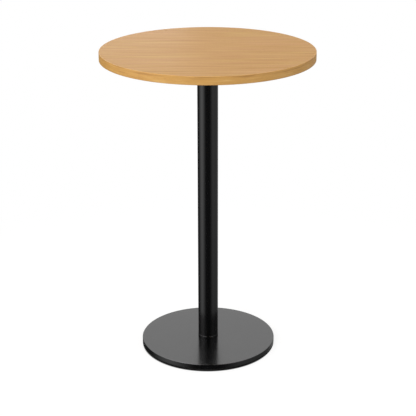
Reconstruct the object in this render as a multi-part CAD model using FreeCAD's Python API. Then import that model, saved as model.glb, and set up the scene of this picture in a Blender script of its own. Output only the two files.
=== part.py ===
import FreeCAD, Part
import math
import os

from FreeCAD import Vector

# Round bar table. A veneered round top is screwed to a welded spider, and one long tie rod draws
# the spider, a steel tube column and a flat round base together. The base is an iron ballast
# disc under a pressed steel cover, with a rubber ring round its edge and four screw glides.
# Frame: +Z is up, the floor is at Z = 0, and the column's axis is the Z axis. Millimetres.

# Whole table
TABLE_HEIGHT = 1110.0
TOP_DIAMETER = 750.0
BASE_DIAMETER = 490.0
COLUMN_DIAMETER = 73.0

# Clearances and cutting
SLIP_FIT = 0.05  # round a pin, a screw or an insert in its hole
PLUG_FIT = 0.2  # round a spigot in the tube, and each side of the ring's leg
OVERRUN = 5.0  # how far a cut runs past the face that it opens

# Top board
CORE_THICKNESS = 28.0
VENEER_THICKNESS = 0.5
EDGE_BAND_THICKNESS = 2.0
EDGE_BAND_ARRIS = 1.2  # rounding along the band's two outer edges
EDGE_BAND_JOINT = 0.3  # gap where the band's two ends meet, at the back
GLUE_LINE = 0.1

# Threaded inserts in the underside of the board, one for each screw
INSERT_DIAMETER = 10.0
INSERT_LENGTH = 13.0
INSERT_END_GAP = 0.5
INSERT_GROOVE_DEPTH = 0.8
INSERT_GROOVES = 5

# Spider: a turned hub with four channel arms welded to it
HUB_MARGIN = 4.5  # how far the hub stands out past the tube
HUB_FLOOR = 10.0
HUB_EDGE_ROUND = 1.5
HUB_POCKET_MARGIN = 6.0  # room round the washer for a socket wrench
HUB_SPIGOT_DEPTH = 10.0
SPIGOT_CHAMFER = 1.0
WELD_GAP = 0.1  # between an arm's end and the hub
ARM_COUNT = 4
ARM_LENGTH = 180.0
ARM_ROOT_WIDTH = 48.0
ARM_TIP_WIDTH = 28.0
ARM_PLATE = 6.0
ARM_FLANGE = 4.0
ARM_ROOT_DEPTH = 20.0
ARM_TIP_DEPTH = 9.0

# Screws that hold the board on the spider, two to an arm
SCREW_DIAMETER = 6.0
SCREW_HOLE_CLEARANCE = 0.3
SCREW_HEAD_DIAMETER = 10.5
SCREW_HEAD_HEIGHT = 3.3
SCREW_HEAD_RIM = 0.8  # straight edge of the domed head
SCREW_DOME_SHARE = 0.7  # of the dome's height, at half its width
SCREW_SOCKET_FLATS = 4.0
SCREW_SOCKET_DEPTH = 2.0
SCREW_WASHER_DIAMETER = 12.5
SCREW_WASHER_THICKNESS = 1.6
SCREW_TIP_INSET = 15.0  # outer hole to the arm's tip
SCREW_PITCH = 70.0  # outer hole to inner hole along the arm
SCREW_END_SHORTFALL = 0.6  # screw's end to insert's end
SCREW_POINT = 0.8

# Column
COLUMN_WALL = 2.0
COLUMN_END_ROUND = 0.6
FOOT_COLLAR_HEIGHT = 9.5
FOOT_COLLAR_LIP = 0.5  # how far the collar stands out past the tube
FOOT_COLLAR_ROUND = 1.0
FOOT_DISC_THICKNESS = 20.0

# Dowel that stops the column turning on the base
DOWEL_DIAMETER = 6.0
DOWEL_EDGE_INSET = 9.0  # the foot disc's edge to the dowel's axis
DOWEL_IN_BALLAST = 6.0
DOWEL_IN_DISC = 6.0
DOWEL_CHAMFER = 0.6

# Tie rod with its nuts and washers
ROD_DIAMETER = 12.0
ROD_CLEARANCE = 0.75  # round the rod in the pieces that it passes through
ROD_CHAMFER = 1.0
ROD_SHOWING = 1.5  # rod that stands out of each nut
ROD_BOARD_GAP = 1.0
NUT_FLATS = 18.0
NUT_CHAMFER_DROP = 1.0  # how far the nut's corners are turned down at each end
HEAD_NUT_HEIGHT = 10.0
FOOT_NUT_HEIGHT = 6.0
WASHER_THICKNESS = 2.5
HEAD_WASHER_DIAMETER = 30.0
FOOT_WASHER_DIAMETER = 37.0
FOOT_WASHER_MARGIN = 1.5
LOCK_WASHER_DIAMETER = 21.0
LOCK_WASHER_THICKNESS = 2.5
LOCK_WASHER_SPLIT = 1.5

# Base
GROUND_GAP = 6.5  # floor to the underside of the ballast and of the cover's rim
BALLAST_THICKNESS = 15.5
BALLAST_CHAMFER = 1.5
COVER_SHEET = 1.2
COVER_INNER_BEND = 0.6  # inside radius of the bend between the cover's top and rim

# Rubber ring round the bottom of the base
RING_FLOOR_GAP = 0.5
RING_LEG_THICKNESS = 2.2
RING_LEG_HEIGHT = 8.0
RING_LIP = 5.0  # how far the ring's foot reaches in under the ballast
RING_RECESS = 0.3
RING_ROUND = 0.5

# Screw glides
GLIDE_COUNT = 4
GLIDE_EDGE_INSET = 50.0
STUD_DIAMETER = 8.0
STUD_TIP_GAP = 0.5
STUD_CHAMFER = 0.8
COLLAR_FLATS = 14.0
COLLAR_GAP = 0.3
COLLAR_POCKET_MARGIN = 6.0  # room round the collar for a socket wrench
COLLAR_POCKET_DEPTH = 3.5
PAD_DIAMETER = 34.0
PAD_TOP_GAP = 0.8
PAD_SOLE = 2.2  # plastic below the stud's pin
PAD_ROUND = 1.5
PAD_PIN_DIAMETER = 8.0

# Directions
QUARTER_TURN = 90.0
FULL_TURN = 360.0
HEX_SIDES = 6
UP = Vector(0, 0, 1)
AXIS = Vector(0, 0, 0)

# Heights above the floor, from the bottom up
ballast_top = GROUND_GAP + BALLAST_THICKNESS
base_top = ballast_top + COVER_SHEET
column_foot = base_top + FOOT_COLLAR_HEIGHT
foot_nut_top = GROUND_GAP + FOOT_NUT_HEIGHT
foot_washer_top = foot_nut_top + WASHER_THICKNESS
rod_bottom = GROUND_GAP - ROD_SHOWING
core_top = TABLE_HEIGHT - VENEER_THICKNESS
core_bottom = core_top - CORE_THICKNESS
board_bottom = core_bottom - VENEER_THICKNESS
rod_top = board_bottom - ROD_BOARD_GAP
head_nut_top = rod_top - ROD_SHOWING
head_nut_bottom = head_nut_top - HEAD_NUT_HEIGHT
lock_washer_bottom = head_nut_bottom - LOCK_WASHER_THICKNESS
hub_pocket_floor = lock_washer_bottom - WASHER_THICKNESS
hub_bottom = hub_pocket_floor - HUB_FLOOR
arm_plate_bottom = board_bottom - ARM_PLATE
screw_washer_bottom = arm_plate_bottom - SCREW_WASHER_THICKNESS
pad_top = GROUND_GAP - PAD_TOP_GAP
collar_pocket_top = GROUND_GAP + COLLAR_POCKET_DEPTH
collar_top = collar_pocket_top - COLLAR_GAP
stud_top = ballast_top - STUD_TIP_GAP

# Radii
top_radius = TOP_DIAMETER / 2
band_inside = top_radius - EDGE_BAND_THICKNESS
core_radius = band_inside - GLUE_LINE
base_radius = BASE_DIAMETER / 2
rim_inside = base_radius - COVER_SHEET
ring_leg_outside = rim_inside - PLUG_FIT
ring_leg_inside = ring_leg_outside - RING_LEG_THICKNESS
ballast_radius = ring_leg_inside - PLUG_FIT
column_radius = COLUMN_DIAMETER / 2
column_bore = column_radius - COLUMN_WALL
spigot_radius = column_bore - PLUG_FIT
hub_radius = column_radius + HUB_MARGIN
rod_radius = ROD_DIAMETER / 2
rod_hole_radius = rod_radius + ROD_CLEARANCE
dowel_offset = spigot_radius - DOWEL_EDGE_INSET
glide_circle = ballast_radius - GLIDE_EDGE_INSET
outer_screw_circle = ARM_LENGTH - SCREW_TIP_INSET
inner_screw_circle = outer_screw_circle - SCREW_PITCH


# Basic shapes

def disc(radius, bottom, top, centre=AXIS):
    """A round solid from one height to another."""
    return Part.makeCylinder(radius, top - bottom, Vector(centre.x, centre.y, bottom), UP)


def washer(outside, inside, bottom, top):
    """A flat ring from one height to another."""
    return disc(outside, bottom, top).cut(disc(inside, bottom - OVERRUN, top + OVERRUN))


def outline(start, *steps):
    """A closed flat face. A step is the end of a line, or a point to pass and an end for an arc."""
    edges = []
    here = start
    for step in steps + (start,):
        if isinstance(step, tuple):
            edges.append(Part.Arc(here, step[0], step[1]).toShape())
            here = step[1]
        else:
            edges.append(Part.LineSegment(here, step).toShape())
            here = step
    return Part.Face(Part.Wire(edges))


def turned(start, *steps):
    """A solid of revolution about the table's axis, from an outline in the XZ plane."""
    return outline(start, *steps).revolve(AXIS, UP, FULL_TURN)


def at(radius, height):
    """A point of a turned outline."""
    return Vector(radius, 0, height)


def corner(centre_radius, centre_height, size, from_angle, to_angle):
    """The middle and the end of a round corner, for an outline."""
    def on_circle(angle):
        turn = math.radians(angle)
        return at(centre_radius + size * math.cos(turn), centre_height + size * math.sin(turn))
    return on_circle((from_angle + to_angle) / 2), on_circle(to_angle)


def corner_radius(flats):
    """From a hexagon's width across its flats to its corners' radius."""
    return flats / 2 / math.cos(math.pi / HEX_SIDES)


def hexagon(flats, bottom, top):
    """A hexagonal prism about the axis."""
    radius = corner_radius(flats)
    turns = [2 * math.pi * i / HEX_SIDES for i in range(HEX_SIDES)]
    points = [Vector(radius * math.cos(turn), radius * math.sin(turn), bottom) for turn in turns]
    face = Part.Face(Part.makePolygon(points + points[:1]))
    return face.extrude(UP * (top - bottom))


def around(shape, angle):
    """A copy of the shape turned about the table's axis."""
    turned_copy = shape.copy()
    turned_copy.rotate(AXIS, UP, angle)
    return turned_copy


def moved_out(shape, radius, angle):
    """A copy of a shape made on the axis, moved out to a place on a circle."""
    placed = shape.copy()
    placed.translate(Vector(radius, 0, 0))
    return around(placed, angle)


def arm_angles():
    return [FULL_TURN * i / ARM_COUNT for i in range(ARM_COUNT)]


def glide_angles():
    """The glides stand half a step round from X, between the arms' directions."""
    return [FULL_TURN * (i + 0.5) / GLIDE_COUNT for i in range(GLIDE_COUNT)]


def at_screws(shape):
    """Copies of a shape made on the axis, one at each screw of the board."""
    circles = (outer_screw_circle, inner_screw_circle)
    return [moved_out(shape, circle, angle) for angle in arm_angles() for circle in circles]


# Top board

def insert_holes(bottom, top):
    """The drillings that the threaded inserts sit in."""
    return at_screws(disc(INSERT_DIAMETER / 2 + SLIP_FIT, bottom, top))


def make_top_veneer():
    return disc(core_radius, core_top, TABLE_HEIGHT)


def make_top_core():
    hole_top = board_bottom + INSERT_LENGTH + INSERT_END_GAP
    return disc(core_radius, core_bottom, core_top).cut(insert_holes(core_bottom - OVERRUN, hole_top))


def make_backing_veneer():
    sheet = disc(core_radius, board_bottom, core_bottom)
    return sheet.cut(insert_holes(board_bottom - OVERRUN, core_bottom + OVERRUN))


def make_edge_band():
    """A strip bent round the board, with its two ends meeting at the back."""
    arris = EDGE_BAND_ARRIS
    band = turned(
        at(band_inside, board_bottom),
        at(top_radius - arris, board_bottom),
        corner(top_radius - arris, board_bottom + arris, arris, -QUARTER_TURN, 0),
        at(top_radius, TABLE_HEIGHT - arris),
        corner(top_radius - arris, TABLE_HEIGHT - arris, arris, 0, QUARTER_TURN),
        at(band_inside, TABLE_HEIGHT),
    )
    joint = Part.makeBox(
        EDGE_BAND_JOINT,
        EDGE_BAND_THICKNESS + 2 * OVERRUN,
        TABLE_HEIGHT - board_bottom + 2 * OVERRUN,
        Vector(-EDGE_BAND_JOINT / 2, band_inside - OVERRUN, board_bottom - OVERRUN),
    )
    return band.cut(joint)


def make_threaded_inserts():
    """Sleeves with grooved outsides, flush with the underside of the board."""
    outside = INSERT_DIAMETER / 2
    sleeve = washer(outside, SCREW_DIAMETER / 2 + SLIP_FIT, board_bottom, board_bottom + INSERT_LENGTH)
    groove_root = outside - INSERT_GROOVE_DEPTH
    groove_width = INSERT_LENGTH / (2 * INSERT_GROOVES + 1)
    for i in range(INSERT_GROOVES):
        bottom = board_bottom + groove_width * (2 * i + 1)
        sleeve = sleeve.cut(washer(outside + OVERRUN, groove_root, bottom, bottom + groove_width))
    return Part.makeCompound(at_screws(sleeve))


# Spider

def make_spider_hub():
    """A cup for the head nut, with a spigot that drops into the tube."""
    spigot_bottom = hub_bottom - HUB_SPIGOT_DEPTH
    pocket_radius = HEAD_WASHER_DIAMETER / 2 + HUB_POCKET_MARGIN
    edge = HUB_EDGE_ROUND
    return turned(
        at(rod_hole_radius, spigot_bottom),
        at(spigot_radius - SPIGOT_CHAMFER, spigot_bottom),
        at(spigot_radius, spigot_bottom + SPIGOT_CHAMFER),
        at(spigot_radius, hub_bottom),
        at(hub_radius - edge, hub_bottom),
        corner(hub_radius - edge, hub_bottom + edge, edge, -QUARTER_TURN, 0),
        at(hub_radius, board_bottom),
        at(pocket_radius, board_bottom),
        at(pocket_radius, hub_pocket_floor),
        at(rod_hole_radius, hub_pocket_floor),
    )


def arm_plan(shrink, height):
    """An arm's tapered outline with its round tip, drawn in by a border, at a height."""
    root = ARM_ROOT_WIDTH / 2 - shrink
    tip = ARM_TIP_WIDTH / 2 - shrink
    tip_centre = ARM_LENGTH - ARM_TIP_WIDTH / 2
    return outline(
        Vector(0, -root, height),
        Vector(tip_centre, -tip, height),
        (Vector(tip_centre + tip, 0, height), Vector(tip_centre, tip, height)),
        Vector(0, root, height),
    )


def make_spider_arm():
    """A channel: a plate against the board with a flange down each edge, shallower at the tip."""
    root_bottom = board_bottom - ARM_ROOT_DEPTH
    tip_bottom = board_bottom - ARM_TIP_DEPTH
    below = root_bottom - OVERRUN
    arm = arm_plan(0, root_bottom).extrude(UP * ARM_ROOT_DEPTH)
    channel = arm_plan(ARM_FLANGE, below).extrude(UP * (arm_plate_bottom - below))
    slope = outline(
        Vector(hub_radius, -ARM_ROOT_WIDTH, root_bottom),
        Vector(ARM_LENGTH, -ARM_ROOT_WIDTH, tip_bottom),
        Vector(ARM_LENGTH + OVERRUN, -ARM_ROOT_WIDTH, tip_bottom),
        Vector(ARM_LENGTH + OVERRUN, -ARM_ROOT_WIDTH, below),
        Vector(hub_radius, -ARM_ROOT_WIDTH, below),
    ).extrude(Vector(0, 2 * ARM_ROOT_WIDTH, 0))
    hub_end = disc(hub_radius + WELD_GAP, below, board_bottom + OVERRUN)
    screw_hole = disc(
        SCREW_DIAMETER / 2 + SCREW_HOLE_CLEARANCE, arm_plate_bottom - OVERRUN, board_bottom + OVERRUN
    )
    holes = [moved_out(screw_hole, circle, 0) for circle in (outer_screw_circle, inner_screw_circle)]
    return arm.cut([channel, slope, hub_end] + holes)


# Screws and washers of the board

def make_top_screws():
    """Domed heads with a hexagonal socket, below the washers."""
    head_top = screw_washer_bottom
    head_bottom = head_top - SCREW_HEAD_HEIGHT
    rim = head_top - SCREW_HEAD_RIM
    head_radius = SCREW_HEAD_DIAMETER / 2
    shank = SCREW_DIAMETER / 2
    mouth = corner_radius(SCREW_SOCKET_FLATS)
    end = board_bottom + INSERT_LENGTH - SCREW_END_SHORTFALL
    screw = turned(
        at(0, head_bottom),
        at(mouth, head_bottom),
        (at((head_radius + mouth) / 2, rim - (rim - head_bottom) * SCREW_DOME_SHARE), at(head_radius, rim)),
        at(head_radius, head_top),
        at(shank, head_top),
        at(shank, end - SCREW_POINT),
        at(shank - SCREW_POINT, end),
        at(0, end),
    )
    socket = hexagon(SCREW_SOCKET_FLATS, head_bottom - OVERRUN, head_bottom + SCREW_SOCKET_DEPTH)
    return Part.makeCompound(at_screws(screw.cut(socket)))


def make_top_washers():
    hole = SCREW_DIAMETER / 2 + SLIP_FIT
    ring = washer(SCREW_WASHER_DIAMETER / 2, hole, screw_washer_bottom, arm_plate_bottom)
    return Part.makeCompound(at_screws(ring))


# Column

def make_column_tube():
    """A plain tube, its outer edges rounded at both ends."""
    ease = COLUMN_END_ROUND
    return turned(
        at(column_bore, column_foot),
        at(column_radius - ease, column_foot),
        corner(column_radius - ease, column_foot + ease, ease, -QUARTER_TURN, 0),
        at(column_radius, hub_bottom - ease),
        corner(column_radius - ease, hub_bottom - ease, ease, 0, QUARTER_TURN),
        at(column_bore, hub_bottom),
    )


def make_foot_collar():
    """A turned ring that the tube stands on, a little wider than the tube."""
    outside = column_radius + FOOT_COLLAR_LIP
    edge = FOOT_COLLAR_ROUND
    return turned(
        at(column_bore, base_top),
        at(outside, base_top),
        at(outside, column_foot - edge),
        corner(outside - edge, column_foot - edge, edge, 0, QUARTER_TURN),
        at(column_bore, column_foot),
    )


def dowel_hole(bottom, top):
    return disc(DOWEL_DIAMETER / 2 + SLIP_FIT, bottom, top, Vector(0, dowel_offset, 0))


def make_foot_centring_disc():
    """The disc on the cover that the tube's foot drops over."""
    top = base_top + FOOT_DISC_THICKNESS
    plug = turned(
        at(rod_hole_radius, base_top),
        at(spigot_radius, base_top),
        at(spigot_radius, top - SPIGOT_CHAMFER),
        at(spigot_radius - SPIGOT_CHAMFER, top),
        at(rod_hole_radius, top),
    )
    return plug.cut(dowel_hole(base_top - OVERRUN, base_top + DOWEL_IN_DISC))


def chamfered_pin(radius, bottom, top, chamfer):
    """A round pin on the axis, both ends chamfered."""
    return turned(
        at(0, bottom),
        at(radius - chamfer, bottom),
        at(radius, bottom + chamfer),
        at(radius, top - chamfer),
        at(radius - chamfer, top),
        at(0, top),
    )


def make_locating_dowel():
    bottom = ballast_top - DOWEL_IN_BALLAST
    pin = chamfered_pin(DOWEL_DIAMETER / 2, bottom, base_top + DOWEL_IN_DISC, DOWEL_CHAMFER)
    pin.translate(Vector(0, dowel_offset, 0))
    return pin


# Tie rod, nuts and washers

def make_tie_rod():
    return chamfered_pin(rod_radius, rod_bottom, rod_top, ROD_CHAMFER)


def make_nut(bottom, top):
    """A hexagonal nut on the rod, its corners turned down at both ends."""
    flat = NUT_FLATS / 2
    widest = corner_radius(NUT_FLATS)
    hole = rod_radius + SLIP_FIT
    blank = turned(
        at(hole, bottom),
        at(flat, bottom),
        at(widest, bottom + NUT_CHAMFER_DROP),
        at(widest, top - NUT_CHAMFER_DROP),
        at(flat, top),
        at(hole, top),
    )
    return blank.common(hexagon(NUT_FLATS, bottom, top))


def make_head_washer():
    return washer(HEAD_WASHER_DIAMETER / 2, rod_radius + SLIP_FIT, hub_pocket_floor, lock_washer_bottom)


def make_head_lock_washer():
    """A spring washer, split on one side."""
    ring = washer(LOCK_WASHER_DIAMETER / 2, rod_radius + SLIP_FIT, lock_washer_bottom, head_nut_bottom)
    split = Part.makeBox(
        LOCK_WASHER_DIAMETER,
        LOCK_WASHER_SPLIT,
        LOCK_WASHER_THICKNESS + 2 * OVERRUN,
        Vector(0, -LOCK_WASHER_SPLIT / 2, lock_washer_bottom - OVERRUN),
    )
    return ring.cut(split)


def make_foot_washer():
    return washer(FOOT_WASHER_DIAMETER / 2, rod_radius + SLIP_FIT, foot_nut_top, foot_washer_top)


# Base

def make_base_cover():
    """Pressed sheet: a flat top, a small bend and a straight rim."""
    outer_bend = COVER_INNER_BEND + COVER_SHEET
    bend_radius = base_radius - outer_bend
    bend_height = base_top - outer_bend
    shell = turned(
        at(rod_hole_radius, ballast_top),
        at(bend_radius, ballast_top),
        corner(bend_radius, bend_height, COVER_INNER_BEND, QUARTER_TURN, 0),
        at(rim_inside, GROUND_GAP),
        at(base_radius, GROUND_GAP),
        at(base_radius, bend_height),
        corner(bend_radius, bend_height, outer_bend, 0, QUARTER_TURN),
        at(rod_hole_radius, base_top),
    )
    return shell.cut(dowel_hole(ballast_top - OVERRUN, base_top + OVERRUN))


def make_ballast_disc():
    """Iron disc with a recess for the foot nut, and a tapped hole and pocket for each glide."""
    block = turned(
        at(rod_hole_radius, GROUND_GAP),
        at(ballast_radius - BALLAST_CHAMFER, GROUND_GAP),
        at(ballast_radius, GROUND_GAP + BALLAST_CHAMFER),
        at(ballast_radius, ballast_top - BALLAST_CHAMFER),
        at(ballast_radius - BALLAST_CHAMFER, ballast_top),
        at(rod_hole_radius, ballast_top),
    )
    below = GROUND_GAP - OVERRUN
    recess = disc(FOOT_WASHER_DIAMETER / 2 + FOOT_WASHER_MARGIN, below, foot_washer_top)
    tapping = disc(STUD_DIAMETER / 2 + SLIP_FIT, below, ballast_top + OVERRUN)
    pocket = disc(COLLAR_FLATS / 2 + COLLAR_POCKET_MARGIN, below, collar_pocket_top)
    cutters = [moved_out(tool, glide_circle, angle) for angle in glide_angles() for tool in (tapping, pocket)]
    return block.cut([recess, dowel_hole(ballast_top - DOWEL_IN_BALLAST, ballast_top + OVERRUN)] + cutters)


def make_floor_ring():
    """A rubber ring: a foot below the cover's rim, and a leg pushed up between rim and ballast."""
    foot_outside = base_radius - RING_RECESS
    foot_inside = ballast_radius - RING_LIP
    leg_top = GROUND_GAP + RING_LEG_HEIGHT
    edge = RING_ROUND
    return turned(
        at(foot_inside, RING_FLOOR_GAP),
        at(foot_outside - edge, RING_FLOOR_GAP),
        corner(foot_outside - edge, RING_FLOOR_GAP + edge, edge, -QUARTER_TURN, 0),
        at(foot_outside, GROUND_GAP),
        at(ring_leg_outside, GROUND_GAP),
        at(ring_leg_outside, leg_top),
        at(ring_leg_inside, leg_top),
        at(ring_leg_inside, GROUND_GAP),
        at(foot_inside, GROUND_GAP),
    )


# Glides

def make_glide_stud():
    """A threaded stud with a hexagonal collar, and a pin below it that turns in the pad."""
    stud_radius = STUD_DIAMETER / 2
    shank = turned(
        at(0, collar_top),
        at(stud_radius, collar_top),
        at(stud_radius, stud_top - STUD_CHAMFER),
        at(stud_radius - STUD_CHAMFER, stud_top),
        at(0, stud_top),
    )
    collar = hexagon(COLLAR_FLATS, pad_top, collar_top)
    pin = disc(PAD_PIN_DIAMETER / 2, PAD_SOLE, pad_top)
    return shank.fuse([collar, pin]).removeSplitter()


def make_glide_pad():
    """A round plastic foot with a blind hole for the stud's pin."""
    edge = PAD_ROUND
    edge_centre = PAD_DIAMETER / 2 - edge
    pin_hole = PAD_PIN_DIAMETER / 2 + SLIP_FIT
    return turned(
        at(0, 0),
        at(edge_centre, 0),
        corner(edge_centre, edge, edge, -QUARTER_TURN, 0),
        at(edge_centre + edge, pad_top - edge),
        corner(edge_centre, pad_top - edge, edge, 0, QUARTER_TURN),
        at(pin_hole, pad_top),
        at(pin_hole, PAD_SOLE),
        at(0, PAD_SOLE),
    )


def all_pieces():
    """Every piece of the table by its name."""
    pieces = {
        "top_veneer": make_top_veneer(),
        "top_core": make_top_core(),
        "backing_veneer": make_backing_veneer(),
        "edge_band": make_edge_band(),
        "threaded_inserts": make_threaded_inserts(),
        "spider_hub": make_spider_hub(),
        "top_screws": make_top_screws(),
        "top_washers": make_top_washers(),
        "column_tube": make_column_tube(),
        "foot_collar": make_foot_collar(),
        "foot_centring_disc": make_foot_centring_disc(),
        "locating_dowel": make_locating_dowel(),
        "tie_rod": make_tie_rod(),
        "head_nut": make_nut(head_nut_bottom, head_nut_top),
        "head_lock_washer": make_head_lock_washer(),
        "head_washer": make_head_washer(),
        "foot_nut": make_nut(GROUND_GAP, foot_nut_top),
        "foot_washer": make_foot_washer(),
        "base_cover": make_base_cover(),
        "ballast_disc": make_ballast_disc(),
        "floor_ring": make_floor_ring(),
    }
    arm = make_spider_arm()
    for number, angle in enumerate(arm_angles(), start=1):
        pieces[f"spider_arm_{number}"] = around(arm, angle)
    stud = make_glide_stud()
    pad = make_glide_pad()
    for number, angle in enumerate(glide_angles(), start=1):
        pieces[f"glide_stud_{number}"] = moved_out(stud, glide_circle, angle)
        pieces[f"glide_pad_{number}"] = moved_out(pad, glide_circle, angle)
    return pieces


def main():
    os.makedirs("parts", exist_ok=True)
    for name, shape in all_pieces().items():
        volume = sum(solid.Volume for solid in shape.Solids)
        print(name, "solids", len(shape.Solids), "valid", shape.isValid(), "volume", round(volume, 1))
        shape.exportStep(f"parts/{name}.step")


main()
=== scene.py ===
"""Round bar table: the surfaces and finishes that go round its fixed construction.

The file is laid out as an add-on and is run as a script. Each operator makes one group of pieces
or the stage. A construction node whose shape is already right keeps its mesh and gets a finish.
The others are replaced by finer surfaces of the same size: a surface here is a grid of points
worked out with numpy from an outline, and its UV map is in metres along the surface.
Metres, +Z up, the floor at Z = 0, the column on the Z axis and the viewer at -Y.
"""
import math

import bmesh
import bpy
import numpy as np
from mathutils import Matrix, Vector


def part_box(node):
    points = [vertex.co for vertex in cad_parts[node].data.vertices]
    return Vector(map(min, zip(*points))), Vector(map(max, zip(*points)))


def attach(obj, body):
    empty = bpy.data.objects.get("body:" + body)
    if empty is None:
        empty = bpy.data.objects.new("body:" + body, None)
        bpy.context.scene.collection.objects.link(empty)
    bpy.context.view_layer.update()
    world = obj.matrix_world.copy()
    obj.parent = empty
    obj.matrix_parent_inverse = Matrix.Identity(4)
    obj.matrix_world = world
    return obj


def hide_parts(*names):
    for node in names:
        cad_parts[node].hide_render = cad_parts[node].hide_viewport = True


bl_info = {
    "name": "Round Bar Table",
    "version": (1, 0, 0),
    "blender": (4, 5, 0),
    "location": "3D View > Sidebar > Bar Table",
    "description": "Makes the surfaces and finishes of a round bar table and its stage",
    "category": "Add Mesh",
}

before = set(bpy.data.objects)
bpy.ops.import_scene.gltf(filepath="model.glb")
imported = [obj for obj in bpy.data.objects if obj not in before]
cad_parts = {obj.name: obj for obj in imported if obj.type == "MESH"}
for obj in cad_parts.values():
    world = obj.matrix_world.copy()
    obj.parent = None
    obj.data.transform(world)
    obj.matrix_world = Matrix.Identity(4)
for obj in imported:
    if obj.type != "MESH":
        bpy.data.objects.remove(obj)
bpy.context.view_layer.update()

TURN = 2 * math.pi
QUARTER = TURN / 4
SIXTH = TURN / 6
X, Y, Z = 0, 1, 2
LOW, HIGH = 0, 1
MILLIMETRE = 0.001
TABLE_BODY = "table"
ARMS = ("spider_arm_1", "spider_arm_2", "spider_arm_3", "spider_arm_4")
GLIDES = (1, 2, 3, 4)

# How finely the surfaces are divided
ROUND_STEPS = 5  # points along a rounded corner
SMALL_STEPS = 60  # round a screw or a stud
RING_STEPS = 72  # round a washer
NUT_STEPS = 96  # round a nut or a pad
HUB_STEPS = 128
TUBE_STEPS = 160
BASE_STEPS = 320
BAND_STEPS = 384
ROD_STEPS = 40
ROD_POINTS_A_TURN = 8  # along each turn of the tie rod's thread
STUD_POINTS_A_TURN = 10
NUT_CONE_POINTS = 7  # down the coned end of a nut
COLLAR_CONE_POINTS = 5
DOME_POINTS = 9  # over a screw's head
ARM_SIDE_POINTS = 24  # along an arm
ARM_TIP_POINTS = 23  # round its tip
BEAD_POINTS = 60  # along a weld bead
BEAD_STEPS = 14  # round it

SUPPORT_SHARE = 0.35  # of a corner's rounding, from its end to a point that keeps the flat side flat
THREAD_DEPTH_SHARE = 0.5  # of a thread's pitch
SHARP_ANGLE = math.radians(32)  # an edge that turns by more is shaded sharp
MERGE_DISTANCE = 1e-6  # points that are closer, in metres, become one


def side(node, end, axis):
    """Where a construction node ends along an axis, to a tenth of a millimetre."""
    return round(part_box(node)[end][axis], 4)


def srgb(red, green, blue):
    """A colour written as screen values from 0 to 255, as scene-linear numbers."""
    shares = [value / 255 for value in (red, green, blue)]
    return tuple(s / 12.92 if s <= 0.04045 else ((s + 0.055) / 1.055) ** 2.4 for s in shares)


def length(name, description, default):
    """A property for a length in metres."""
    return bpy.props.FloatProperty(name=name, description=description, default=default, min=0,
                                   unit="LENGTH")


def angle(name, description, default):
    """A property for an angle in radians."""
    return bpy.props.FloatProperty(name=name, description=description, default=default, subtype="ANGLE")


def share(name, description, default):
    """A property for a share from 0 to 1."""
    return bpy.props.FloatProperty(name=name, description=description, default=default, min=0, max=1,
                                   subtype="FACTOR")


def level(name, description, default):
    """A property for a plain number that isn't negative."""
    return bpy.props.FloatProperty(name=name, description=description, default=default, min=0)


def tint(name, description, *screen_values):
    """A property for a colour, given as screen values."""
    return bpy.props.FloatVectorProperty(name=name, description=description, default=srgb(*screen_values),
                                         size=3, min=0, max=1, subtype="COLOR")


# Sizes and colours

class BarTableTopSizes(bpy.types.PropertyGroup):
    """Sizes of the board, its edge band and the spider under it"""

    radius: length("Top radius", "Outside radius of the edge band", side("edge_band", HIGH, X))
    height: length("Top height", "Height of the table", side("edge_band", HIGH, Z))
    underside: length("Underside", "Height of the board's underside", side("edge_band", LOW, Z))
    band: length("Band thickness", "Thickness of the edge band", 0.002)
    arris: length("Band arris", "Rounding of the edge band's outer edges", 0.0012)
    band_joint: length("Band joint", "Gap between the two ends of the edge band", 0.0003)
    hub_radius: length("Hub radius", "Outside radius of the spider's hub", side("spider_hub", HIGH, X))
    hub_bottom: length("Hub underside", "Height where the hub sits on the tube", side("column_tube", HIGH, Z))
    hub_spigot: length("Spigot end", "Height of the lower end of the spigot", side("spider_hub", LOW, Z))
    hub_round: length("Hub rounding", "Rounding of the hub's lower edge", 0.0015)
    hub_pocket: length("Hub pocket radius", "Radius of the pocket for the head nut", 0.021)
    hub_floor: length("Pocket floor", "Height of the floor of the hub's pocket", side("head_washer", LOW, Z))
    arm_reach: length("Arm reach", "Column axis to the tip of an arm", side("spider_arm_1", HIGH, X))
    arm_bottom: length("Arm bottom", "Lowest height of an arm, at the hub", side("spider_arm_1", LOW, Z))
    arm_root_width: length("Arm root width", "Width that an arm would have at the column axis", 0.048)
    arm_tip_width: length("Arm tip width", "Width of an arm's round tip", 0.028)
    arm_plate: length("Arm plate", "Thickness of an arm against the board", 0.006)
    arm_flange: length("Arm flange", "Thickness of an arm's flanges", 0.004)
    arm_tip_depth: length("Arm tip depth", "Depth of an arm at its tip", 0.009)
    arm_round: length("Arm rounding", "Rounding of an arm's edges", 0.0009)
    arm_gap: length("Arm gap", "Gap between an arm and the hub, under the welds", 0.0001)
    weld: length("Weld radius", "Radius of the weld beads between arm and hub", 0.0022)
    weld_ripple: length("Weld ripple", "Length of one ripple in a weld bead", 0.0021)
    weld_swell: share("Weld swell", "How much a ripple swells a weld bead", 0.1)


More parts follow.
